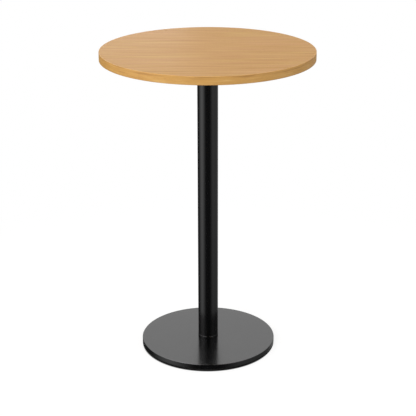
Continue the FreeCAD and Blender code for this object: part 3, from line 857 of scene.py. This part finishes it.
FINISHES = {
    "face_finish": (make_wood_face, "bar_table_wood"),
    "edge_finish": (make_wood_edge, "bar_table_wood"),
    "back_finish": (make_wood_back, "bar_table_wood"),
    "board_finish": (make_chipboard, "bar_table_wood"),
    "paint_finish": (make_black_paint, "bar_table_metal"),
    "zinc_finish": (make_zinc, "bar_table_metal"),
    "steel_finish": (make_turned_steel, "bar_table_metal"),
    "iron_finish": (make_primed_iron, "bar_table_metal"),
    "screw_finish": (make_black_oxide, "bar_table_metal"),
    "rubber_finish": (make_rubber, "bar_table_metal"),
    "plastic_finish": (make_black_plastic, "bar_table_metal"),
}


def finish(name):
    """The material of that name, made when it is first asked for."""
    maker, look = FINISHES[name]
    return bpy.data.materials.get(name) or maker(getattr(bpy.context.scene, look))


# Pieces

class BARTABLE_OT_top_board(bpy.types.Operator):
    """Make the edge band and finish the board and its veneers"""

    bl_idname = "bar_table.top_board"
    bl_label = "Top Board"

    def execute(self, context):
        size = context.scene.bar_table_top
        inside = size.radius - size.band
        outline = rounded([
            (inside, size.underside),
            (size.radius, size.underside, size.arris),
            (size.radius, size.height, size.arris),
            (inside, size.height),
        ])
        half_joint = size.band_joint / 2 / size.radius
        shell = bent_strip(outline, QUARTER + half_joint, QUARTER + TURN - half_joint, BAND_STEPS)
        add_piece("edge_strip", shell, finish("edge_finish"), replaces=("edge_band",))
        finish_node("top_veneer", finish("face_finish"))
        finish_node("backing_veneer", finish("back_finish"))
        finish_node("top_core", finish("board_finish"))
        finish_node("threaded_inserts", finish("zinc_finish"))
        return {"FINISHED"}


def arm_shell(size):
    """One channel arm along +X, from the hub to its round tip.

    The plan's outline runs out along one side, round the tip and back along the other. At each of
    its points a section follows the channel: from the middle of the plate's underside to the
    flange, down it, round its lower edge, up the outside and back over the top to the middle.
    A point is outline + inset x inward, so the two sides meet along the middle. The lower edge
    follows a straight slope from the hub to the tip. The UV is in metres only roughly.
    """
    tip_radius = size.arm_tip_width / 2
    tip_centre = size.arm_reach - tip_radius
    out = np.linspace(0, 1, ARM_SIDE_POINTS)
    half_width = np.interp(size.hub_radius + (tip_centre - size.hub_radius) * out, [0, tip_centre],
                           [size.arm_root_width / 2, tip_radius])
    tip_bearing = np.linspace(-QUARTER, QUARTER, ARM_TIP_POINTS + 2)[1:-1]
    straight = np.full(ARM_SIDE_POINTS, QUARTER)
    way_out = np.concatenate([out, np.ones(ARM_TIP_POINTS), out[::-1]])[:, None]
    reach = np.concatenate([half_width, np.full(ARM_TIP_POINTS, tip_radius), half_width[::-1]])[:, None]
    bearing = np.concatenate([-straight, tip_bearing, straight])[:, None]

    easing, inner = size.arm_round, size.arm_flange
    plate_bottom = size.underside - size.arm_plate
    bend = np.linspace(0, QUARTER, ROUND_STEPS)
    falling, growing = easing * (1 - np.sin(bend)), easing * (1 - np.cos(bend))
    support = 3 * easing  # a point past the rounding that keeps the flat side flat
    inset = np.concatenate([[np.inf, inner + support], inner + falling, inner - growing,
                            falling, growing, [support, np.inf]])
    # Above the slope at the flange's lower edge, and above the floor elsewhere
    height = np.concatenate([np.full(2, plate_bottom), plate_bottom - growing, falling, growing,
                             size.underside - falling, np.full(2, size.underside)])
    on_slope = np.repeat([False, True, False], [2 + ROUND_STEPS, 2 * ROUND_STEPS, 2 + ROUND_STEPS])

    distance = reach - np.minimum(inset, reach)
    y = distance * np.sin(bearing)
    root = np.sqrt(size.hub_radius ** 2 - y ** 2) + size.arm_gap
    x = root + (tip_centre - root) * way_out + distance * np.cos(bearing) * (way_out == 1)
    fall = (size.underside - size.arm_tip_depth - size.arm_bottom) / (size.arm_reach - size.hub_radius)
    slope = size.arm_bottom + (x - size.hub_radius) * fall
    z = np.where(on_slope, slope + height, height)
    rows, count = x.shape
    across = np.linspace(0, 2 * size.arm_reach, rows)
    along = np.linspace(0, size.arm_tip_width, count)
    return grid_shell(np.stack([x, y, z], -1), across, along, caps=end_caps(rows, count))


def weld_bead(size, path, along, start=0):
    """A weld bead of radius weld x ripple x sqrt(1 - (2 s - 1)^8) on a path, s from 0 to 1.

    ripple is 1 + swell x sin(turn x along / ripple length + start). The root closes both ends.
    """
    s = np.linspace(0, 1, len(path))
    closing = np.sqrt(np.clip(1 - (2 * s - 1) ** 8, 0, 1))
    ripple = 1 + size.weld_swell * np.sin(TURN * along / size.weld_ripple + start)
    return tube_along(path, size.weld * ripple * closing, BEAD_STEPS)


# Where the middle of a weld bead runs
WELD_OUT = 0.6 * MILLIMETRE  # from the hub, beside an arm
WELD_ASIDE = 0.2 * MILLIMETRE  # from the arm's side
WELD_LOW_END = 0.8 * MILLIMETRE  # above the arm's lower edge
WELD_HIGH_END = 1.8 * MILLIMETRE  # under the board
WELD_UNDER = 0.3 * MILLIMETRE  # from the hub and from the plate, between the flanges
WELD_UNDER_SHARE = 0.94  # of the hub's face between the flanges


def weld_shells(size):
    """Weld beads of one arm: up each of its sides at the hub, and across under its plate."""
    root = np.interp(size.hub_radius, [0, size.arm_reach],
                     [size.arm_root_width / 2, size.arm_tip_width / 2])
    x = math.sqrt(size.hub_radius ** 2 - root ** 2) + WELD_OUT
    z = np.linspace(size.arm_bottom + WELD_LOW_END, size.underside - WELD_HIGH_END, BEAD_POINTS)
    beads = []
    for sign in (-1, 1):
        path = np.stack(np.broadcast_arrays(x, sign * (root + WELD_ASIDE), z), -1)
        beads.append(weld_bead(size, path, z, start=sign))
    swing = math.asin((root - size.arm_flange) / size.hub_radius) * WELD_UNDER_SHARE
    bearing = np.linspace(-swing, swing, BEAD_POINTS)
    radius = size.hub_radius + WELD_UNDER
    z = size.underside - size.arm_plate - WELD_UNDER
    path = np.stack(np.broadcast_arrays(radius * np.cos(bearing), radius * np.sin(bearing), z), -1)
    beads.append(weld_bead(size, path, bearing * size.hub_radius))
    return beads


class BARTABLE_OT_spider(bpy.types.Operator):
    """Make the spider: the hub, its four arms and their welds"""

    bl_idname = "bar_table.spider"
    bl_label = "Spider"

    def execute(self, context):
        size = context.scene.bar_table_top
        column = context.scene.bar_table_column
        paint = finish("paint_finish")
        rod_hole = column.rod_radius + column.rod_clearance
        spigot = column.radius - column.wall - column.spigot_fit
        break_edge = context.scene.bar_table_screws.edge
        hub = rounded([
            (rod_hole, size.hub_spigot),
            (spigot, size.hub_spigot, column.rod_chamfer),
            (spigot, size.hub_bottom),
            (size.hub_radius, size.hub_bottom, size.hub_round),
            (size.hub_radius, size.underside, break_edge),
            (size.hub_pocket, size.underside, break_edge),
            (size.hub_pocket, size.hub_floor, break_edge),
            (rod_hole, size.hub_floor),
        ])
        add_piece("hub_body", lathe(hub, HUB_STEPS), paint, replaces=("spider_hub",))
        arm = arm_shell(size)
        beads = []
        for number, node in enumerate(ARMS):
            turn = turned_about_z(number * QUARTER)
            add_piece(f"arm_{number + 1}", arm.moved(turn), paint, replaces=(node,))
            beads += [bead.moved(turn) for bead in weld_shells(size)]
        add_piece("weld_beads", Shell.joined(beads), paint)
        return {"FINISHED"}


class BARTABLE_OT_column(bpy.types.Operator):
    """Make the column's tube and the collar that it stands on, and finish what is inside its foot"""

    bl_idname = "bar_table.column"
    bl_label = "Column"

    def execute(self, context):
        size = context.scene.bar_table_column
        bore = size.radius - size.wall
        tube = rounded([
            (bore, size.foot),
            (size.radius, size.foot, size.end_round),
            (size.radius, size.head, size.end_round),
            (bore, size.head),
        ])
        add_piece("tube_body", lathe(tube, TUBE_STEPS), finish("paint_finish"),
                  replaces=("column_tube",))
        under = context.scene.bar_table_base.top
        collar = rounded([
            (bore, under),
            (size.collar_radius, under, context.scene.bar_table_screws.edge),
            (size.collar_radius, size.foot, size.collar_round),
            (bore, size.foot),
        ])
        add_piece("collar_ring", lathe(collar, TUBE_STEPS), finish("paint_finish"),
                  replaces=("foot_collar",))
        finish_node("foot_centring_disc", finish("steel_finish"))
        finish_node("locating_dowel", finish("steel_finish"))
        return {"FINISHED"}


def threaded_rod(size):
    """The tie rod: a plain bar whose two ends carry a thread.

    The groove deepens over one turn at the rod's ends, and runs out over two towards its middle.
    """
    count = int(size.rod_threaded / size.rod_pitch * ROD_POINTS_A_TURN)
    low = np.linspace(size.rod_bottom + size.rod_chamfer, size.rod_bottom + size.rod_threaded, count)
    high = np.linspace(size.rod_top - size.rod_threaded, size.rod_top - size.rod_chamfer, count)
    heights = np.concatenate([low, high])
    fade = np.clip(np.minimum(heights - low[0], high[-1] - heights) / size.rod_pitch, 0, 1)
    fade *= np.clip(np.concatenate([low[-1] - low, high - high[0]]) / (2 * size.rod_pitch), 0, 1)
    body = np.stack([np.full(len(heights), size.rod_radius), heights], -1)
    tip = size.rod_radius - size.rod_chamfer
    outline = np.vstack([[(0, size.rod_bottom), (tip, size.rod_bottom)], body,
                         [(tip, size.rod_top), (0, size.rod_top)]])
    thread = np.concatenate([[0, 0], THREAD_DEPTH_SHARE * size.rod_pitch * fade, [0, 0]])
    return lathe(outline, ROD_STEPS, closed=False, thread=thread, pitch=size.rod_pitch)


def nut_shell(size, bottom, top):
    """A nut: a round blank with coned ends, cut down to a hexagon.

    The radius is the smaller of the blank's and the hexagon's, which leaves the curved corners
    that a turned nut has.
    """
    hole = size.rod_radius + size.hole_fit
    blank = coned_blank(size.nut_flats, bottom, top, size.nut_drop, NUT_CONE_POINTS)
    outline = np.vstack([[(hole, bottom)], blank, [(hole, top)]])
    flats = np.full(len(outline), size.nut_flats)
    flats[[0, -1]] = 0
    return lathe(outline, NUT_STEPS, flats=flats)


def washer_shell(outside, hole, bottom, top, edge):
    """A flat ring with its edges eased."""
    corners = [(hole, bottom, edge), (outside, bottom, edge), (outside, top, edge), (hole, top, edge)]
    return lathe(rounded(corners), RING_STEPS)


class BARTABLE_OT_tie_rod(bpy.types.Operator):
    """Make the tie rod with its nuts and washers"""

    bl_idname = "bar_table.tie_rod"
    bl_label = "Tie Rod"

    def execute(self, context):
        size = context.scene.bar_table_column
        edge = context.scene.bar_table_screws.edge
        zinc = finish("zinc_finish")
        hole = size.rod_radius + size.hole_fit
        add_piece("rod_body", threaded_rod(size), zinc, replaces=("tie_rod",))
        for node in ("head_nut", "foot_nut"):
            shell = nut_shell(size, side(node, LOW, Z), side(node, HIGH, Z))
            add_piece(f"{node}_body", shell, zinc, replaces=(node,))
        for node in ("head_washer", "foot_washer"):
            shell = washer_shell(side(node, HIGH, X), hole, side(node, LOW, Z), side(node, HIGH, Z), edge)
            add_piece(f"{node}_ring", shell, zinc, replaces=(node,))
        node = "head_lock_washer"
        outside, low, high = side(node, HIGH, Y), side(node, LOW, Z), side(node, HIGH, Z)
        strip = rounded([(hole, low), (outside, low, edge), (outside, high, edge), (hole, high)])
        split_ring = bent_strip(strip, size.washer_split, TURN - size.washer_split, RING_STEPS)
        add_piece("lock_washer_ring", split_ring, zinc, replaces=(node,))
        return {"FINISHED"}


def screw_shell(size):
    """A button-headed screw, head down, on the Z axis.

    The dome is an ellipse quarter from the socket's mouth to the rim. The socket's radius is that
    of a hexagon, and its floor is a shallow cone.
    """
    head_top = size.washer_bottom
    head_bottom = head_top - size.head_height
    rim = head_top - size.head_rim
    mouth = hexagon(size.socket_flats, SIXTH / 2)
    floor = head_bottom + size.socket_depth
    bend = np.linspace(0, QUARTER, DOME_POINTS)
    dome = np.stack([mouth + (size.head_radius - mouth) * np.sin(bend),
                     rim - (rim - head_bottom) * np.cos(bend)], -1)
    outline = np.vstack([
        [(0, floor + size.socket_cone), (mouth, floor), (mouth, head_bottom + size.socket_mouth)],
        dome,
        [(size.head_radius, head_top), (size.radius, head_top), (size.radius, size.end - size.point),
         (size.radius - size.point, size.end), (0, size.end)],
    ])
    flats = np.zeros(len(outline))
    flats[1:3] = size.socket_flats
    return lathe(outline, SMALL_STEPS, closed=False, flats=flats)


class BARTABLE_OT_board_screws(bpy.types.Operator):
    """Make the screws and washers that hold the board on the spider"""

    bl_idname = "bar_table.board_screws"
    bl_label = "Board Screws"

    def execute(self, context):
        size = context.scene.bar_table_screws
        hole = size.radius + context.scene.bar_table_column.hole_fit
        screw = screw_shell(size)
        ring = washer_shell(size.washer_radius, hole, size.washer_bottom, size.washer_top, size.edge)
        places = [turned_about_z(arm * QUARTER, (circle, 0, 0))
                  for arm in range(len(ARMS)) for circle in (size.outer_circle, size.inner_circle)]
        add_piece("board_screws", Shell.joined([screw.moved(p) for p in places]), finish("screw_finish"),
                  replaces=("top_screws",))
        add_piece("board_washers", Shell.joined([ring.moved(p) for p in places]), finish("zinc_finish"),
                  replaces=("top_washers",))
        return {"FINISHED"}


class BARTABLE_OT_base(bpy.types.Operator):
    """Make the base's cover and rubber ring, and finish the ballast"""

    bl_idname = "bar_table.base"
    bl_label = "Base"

    def execute(self, context):
        size = context.scene.bar_table_base
        column = context.scene.bar_table_column
        edge = context.scene.bar_table_screws.edge
        rod_hole = column.rod_radius + column.rod_clearance
        inside = size.radius - size.sheet
        cover = rounded([
            (rod_hole, size.top - size.sheet),
            (inside, size.top - size.sheet, size.bend),
            (inside, size.rim_bottom, edge),
            (size.radius, size.rim_bottom, edge),
            (size.radius, size.top, size.bend + size.sheet),
            (rod_hole, size.top),
        ])
        add_piece("cover_shell", lathe(cover, BASE_STEPS), finish("paint_finish"),
                  replaces=("base_cover",))
        leg_outside = inside - size.ring_leg_fit
        leg_inside = leg_outside - size.ring_leg
        foot_inside = leg_inside - size.ring_leg_fit - size.ring_lip
        ring = rounded([
            (foot_inside, size.ring_bottom, edge),
            (size.ring_radius, size.ring_bottom, size.ring_round),
            (size.ring_radius, size.rim_bottom),
            (leg_outside, size.rim_bottom),
            (leg_outside, size.ring_top, edge),
            (leg_inside, size.ring_top, edge),
            (leg_inside, size.rim_bottom),
            (foot_inside, size.rim_bottom, edge),
        ])
        add_piece("rubber_ring", lathe(ring, BASE_STEPS), finish("rubber_finish"),
                  replaces=("floor_ring",))
        finish_node("ballast_disc", finish("iron_finish"))
        return {"FINISHED"}


def stud_shell(size, edge):
    """A glide's stud: a pin, a hexagonal collar with coned ends, and a thread above it.

    The thread's groove deepens over its first turn and runs out over its last.
    """
    chamfer = 2 * edge
    start, end = size.collar_top, size.stud_top - chamfer
    heights = np.linspace(start, end, int((end - start) / size.stud_pitch * STUD_POINTS_A_TURN))
    fade = np.clip(np.minimum(heights - start, end - heights) / size.stud_pitch, 0, 1)
    pin = [(0, size.stud_bottom), (size.stud_radius, size.stud_bottom), (size.stud_radius, size.pad_top)]
    collar = coned_blank(size.collar_flats, size.pad_top, size.collar_top, chamfer, COLLAR_CONE_POINTS)
    threaded = np.stack([np.full(len(heights), size.stud_radius), heights], -1)
    end_face = [(size.stud_radius - chamfer, size.stud_top), (0, size.stud_top)]
    outline = np.vstack([pin, collar, threaded, end_face])
    before_thread = len(pin) + len(collar)
    flats, thread = np.zeros(len(outline)), np.zeros(len(outline))
    flats[len(pin):before_thread] = size.collar_flats
    thread[before_thread:-len(end_face)] = THREAD_DEPTH_SHARE * size.stud_pitch * fade
    return lathe(outline, SMALL_STEPS, closed=False, flats=flats, thread=thread, pitch=size.stud_pitch)


class BARTABLE_OT_glides(bpy.types.Operator):
    """Make the four screw glides, each a pad and a stud on bodies of their own"""

    bl_idname = "bar_table.glides"
    bl_label = "Glides"

    def execute(self, context):
        size = context.scene.bar_table_base
        edge = context.scene.bar_table_screws.edge
        stud = stud_shell(size, edge)
        pin_hole = size.stud_radius + context.scene.bar_table_column.hole_fit
        for number in GLIDES:
            low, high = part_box(f"glide_pad_{number}")
            centre = (low + high) / 2
            radius = round((high.x - low.x) / 2, 4)
            pad = rounded([
                (0, 0),
                (radius, 0, size.pad_round),
                (radius, size.pad_top, size.pad_round),
                (pin_hole, size.pad_top, edge),
                (pin_hole, size.stud_bottom),
                (0, size.stud_bottom),
            ], closed=False)
            place = Matrix.Translation((centre.x, centre.y, 0))
            add_piece(f"pad_{number}_body", lathe(pad, NUT_STEPS, closed=False).moved(place),
                      finish("plastic_finish"), body=f"pad_{number}",
                      replaces=(f"glide_pad_{number}",))
            add_piece(f"stud_{number}_body", stud.moved(place), finish("zinc_finish"),
                      body=f"stud_{number}", replaces=(f"glide_stud_{number}",))
        return {"FINISHED"}


# Stage

# What gloss sees round the table: degrees from the front, positive to the right, and brightness
ROOM_BY_BEARING = (
    (-180, 0.25), (-150, 0.05), (-122, 0.05), (-68, 0.95), (-20, 0.04),
    (20, 0.04), (58, 0.42), (126, 0.24), (150, 0.45), (180, 0.25),
)
# Degrees from the front, to either side, over which its brighter parts set in or dim
BEHIND = (135, 165)
BESIDE = (10, 32)
FAR_BESIDE = (50, 90)
# Heights, each the sine of an angle above level, over which those parts set in or end
HIGH_BEHIND_FROM = (-0.04, 0.1)
HIGH_IN_FRONT_FROM = (0.5, 0.64)
HIGH_IN_FRONT_TO = (0.88, 0.98)
# Name, place, the point that it faces and width of each light, and whether it lights the gloss alone
LIGHTS = (
    ("overhead", (0.0, 0.0, 3.4), (0.0, 0.0, 0.0), 2.4, False),
    ("key", (-1.67, -2.79, 1.9), (0.0, 0.0, 0.8), 1.6, False),
    ("sheen", (-0.3, 0.8, 1.3), (-0.15, 0.0, 1.11), 0.45, True),
)


def make_floor(stage):
    """A pale floor, which the camera sees white but for the table's shadow.

    To the camera the floor gives real x colour x light + 1 - real x lit, which is 1 where the
    light is the open floor's, and falls below 1 in the table's shadow. real fades to 0 with the
    distance from the table. To all else the floor is plainly its colour. Close round the base,
    a little further out in front and on the left, what the camera sees falls to black: the
    contact shadow. A camera below the floor looks through it.
    """
    reach = stage.floor_reach
    corners = [(-reach, -reach, 0), (reach, -reach, 0), (reach, reach, 0), (-reach, reach, 0)]
    mesh = bpy.data.meshes.new("floor")
    mesh.from_pydata(corners, [], [(0, 1, 2, 3)])
    floor = bpy.data.objects.new("floor", mesh)
    bpy.context.scene.collection.objects.link(floor)
    floor.visible_glossy = False
    material, nodes = new_material("floor")
    seen = nodes.add("ShaderNodeLightPath", output="Is Camera Ray")
    x, y, _ = nodes.parts(nodes.coordinates())
    real = (1 - ((x * x + y * y) ** 0.5).smooth(stage.shadow_start, stage.shadow_end)) * stage.shadow
    black, white = (0.0, 0.0, 0.0), (1.0, 1.0, 1.0)
    ahead, aside = y + stage.contact_shift, x + stage.contact_aside
    clear = ((aside * aside + ahead * ahead) ** 0.5).smooth(stage.contact_start, stage.contact_end)
    upper = nodes.principled(
        Base_Color=nodes.mix(black, colour(stage.floor), 1 - seen * (1 - real * clear)), Roughness=1.0,
        Specular_IOR_Level=0.0, Emission_Strength=1.0,
        Emission_Color=nodes.mix(black, white, seen * clear * (1 - real * stage.lit)))
    below = nodes.add("ShaderNodeNewGeometry", output="Backfacing") * seen
    through = nodes.add("ShaderNodeBsdfTransparent")
    both = nodes.add("ShaderNodeMixShader", inputs={0: below, 1: upper, 2: through})
    nodes.add("ShaderNodeOutputMaterial", inputs={"Surface": both})
    mesh.materials.append(material)


def make_world(stage):
    """White to the camera, even light to the colours, and a room of its own to gloss.

    The room has a bright left, a dimmer right and a dark front, all dimmer towards the floor, and
    white high behind the table. Two brighter stretches high in front light the rounded edges.
    """
    world = bpy.data.worlds.new("studio")
    world.cycles.sampling_method = "NONE"
    bpy.context.scene.world = world
    nodes = Nodes(world)
    x, y, z = nodes.parts(nodes.coordinates("Generated"))
    bearing = x.math("ARCTAN2", x, -y)
    turned_away = abs(bearing)
    on_right = x.smooth(-0.2, 0.2)

    def beyond(first, second):
        """0 up to the first of two angles from the front, in degrees, and 1 past the second."""
        return turned_away.smooth(math.radians(first), math.radians(second))

    stops = [(degrees / 360 + 0.5, (shade,) * 3) for degrees, shade in ROOM_BY_BEARING]
    # 1.45 at level and above, or 0.9 on the right, and down to 0.5 well below level
    rising = (z * 2.2 + 1.6).clamped(0.5, 1.45 - on_right * 0.55)
    room = nodes.ramp(bearing / TURN + 0.5, stops, "EASE") * rising * stage.low_glow
    high_behind = z.smooth(*HIGH_BEHIND_FROM) * beyond(*BEHIND)
    to_the_sides = beyond(*BESIDE) * (1 - beyond(*FAR_BESIDE) * 0.65) * (1 - on_right * 0.5)
    high_in_front = z.smooth(*HIGH_IN_FRONT_FROM) * (1 - z.smooth(*HIGH_IN_FRONT_TO)) * to_the_sides
    gloss = room * (1 - high_behind) + high_behind * stage.back_glow + high_in_front * stage.front_glow
    path = nodes.add("ShaderNodeLightPath").output.node.outputs
    glossy = Socket(nodes, path["Is Glossy Ray"])
    through = Socket(nodes, path["Is Transmission Ray"])
    seen = (Socket(nodes, path["Is Camera Ray"]) + through).clamped(0.0, 1.0)
    brightness = (gloss - stage.ambient) * glossy + seen * (1 - stage.ambient) + stage.ambient
    background = nodes.add("ShaderNodeBackground", inputs={"Color": (1.0, 1.0, 1.0, 1.0),
                                                           "Strength": brightness})
    nodes.add("ShaderNodeOutputWorld", inputs={"Surface": background})


def add_light(name, place, target, width, power, gloss_only):
    """A square soft light that the camera doesn't see. It lights the colour, or only the gloss."""
    data = bpy.data.lights.new(name, "AREA")
    data.shape = "SQUARE"
    data.size = width
    data.energy = power
    light = bpy.data.objects.new(name, data)
    light.location = place
    light.rotation_euler = (Vector(target) - Vector(place)).to_track_quat("-Z", "Y").to_euler()
    light.visible_camera = False
    light.visible_glossy = gloss_only
    light.visible_diffuse = not gloss_only
    bpy.context.scene.collection.objects.link(light)


class BARTABLE_OT_stage(bpy.types.Operator):
    """Make the floor, the light and the camera"""

    bl_idname = "bar_table.stage"
    bl_label = "Stage"

    def execute(self, context):
        stage = context.scene.bar_table_stage
        make_floor(stage)
        make_world(stage)
        for name, place, target, width, gloss_only in LIGHTS:
            add_light(name, place, target, width, getattr(stage, name), gloss_only)
        data = bpy.data.cameras.new("camera")
        data.lens = data.sensor_width * stage.camera_zoom
        camera = bpy.data.objects.new("camera", data)
        camera.matrix_world = (Matrix.Translation(stage.camera_place)
                               @ Matrix.Rotation(QUARTER - stage.camera_tilt, 4, "X")
                               @ Matrix.Rotation(stage.camera_roll, 4, "Z"))
        context.scene.collection.objects.link(camera)
        context.scene.camera = camera
        context.scene.view_settings.view_transform = "Standard"
        return {"FINISHED"}


# Panel and registration

OPERATORS = (
    BARTABLE_OT_top_board,
    BARTABLE_OT_spider,
    BARTABLE_OT_column,
    BARTABLE_OT_tie_rod,
    BARTABLE_OT_board_screws,
    BARTABLE_OT_base,
    BARTABLE_OT_glides,
    BARTABLE_OT_stage,
)
GROUPS = {
    "bar_table_top": BarTableTopSizes,
    "bar_table_column": BarTableColumnSizes,
    "bar_table_screws": BarTableScrewSizes,
    "bar_table_base": BarTableBaseSizes,
    "bar_table_wood": BarTableWoodLook,
    "bar_table_metal": BarTableMetalLook,
    "bar_table_stage": BarTableStage,
}


class BARTABLE_PT_panel(bpy.types.Panel):
    """Sizes, looks and steps of the bar table"""

    bl_idname = "BARTABLE_PT_panel"
    bl_label = "Round Bar Table"
    bl_space_type = "VIEW_3D"
    bl_region_type = "UI"
    bl_category = "Bar Table"

    def draw(self, context):
        for operator in OPERATORS:
            self.layout.operator(operator.bl_idname)
        for name, group in GROUPS.items():
            box = self.layout.box()
            box.label(text=group.__doc__)
            for field in group.__annotations__:
                box.prop(getattr(context.scene, name), field)


def register():
    for made in (*GROUPS.values(), *OPERATORS, BARTABLE_PT_panel):
        bpy.utils.register_class(made)
    for name, group in GROUPS.items():
        setattr(bpy.types.Scene, name, bpy.props.PointerProperty(type=group))


def unregister():
    for name in GROUPS:
        delattr(bpy.types.Scene, name)
    for made in (BARTABLE_PT_panel, *reversed(OPERATORS), *reversed(tuple(GROUPS.values()))):
        bpy.utils.unregister_class(made)


def main():
    """Makes the pieces and the stage."""
    register()
    bpy.ops.bar_table.top_board()
    bpy.ops.bar_table.spider()
    bpy.ops.bar_table.column()
    bpy.ops.bar_table.tie_rod()
    bpy.ops.bar_table.board_screws()
    bpy.ops.bar_table.base()
    bpy.ops.bar_table.glides()
    bpy.ops.bar_table.stage()


if __name__ == "__main__":
    main()
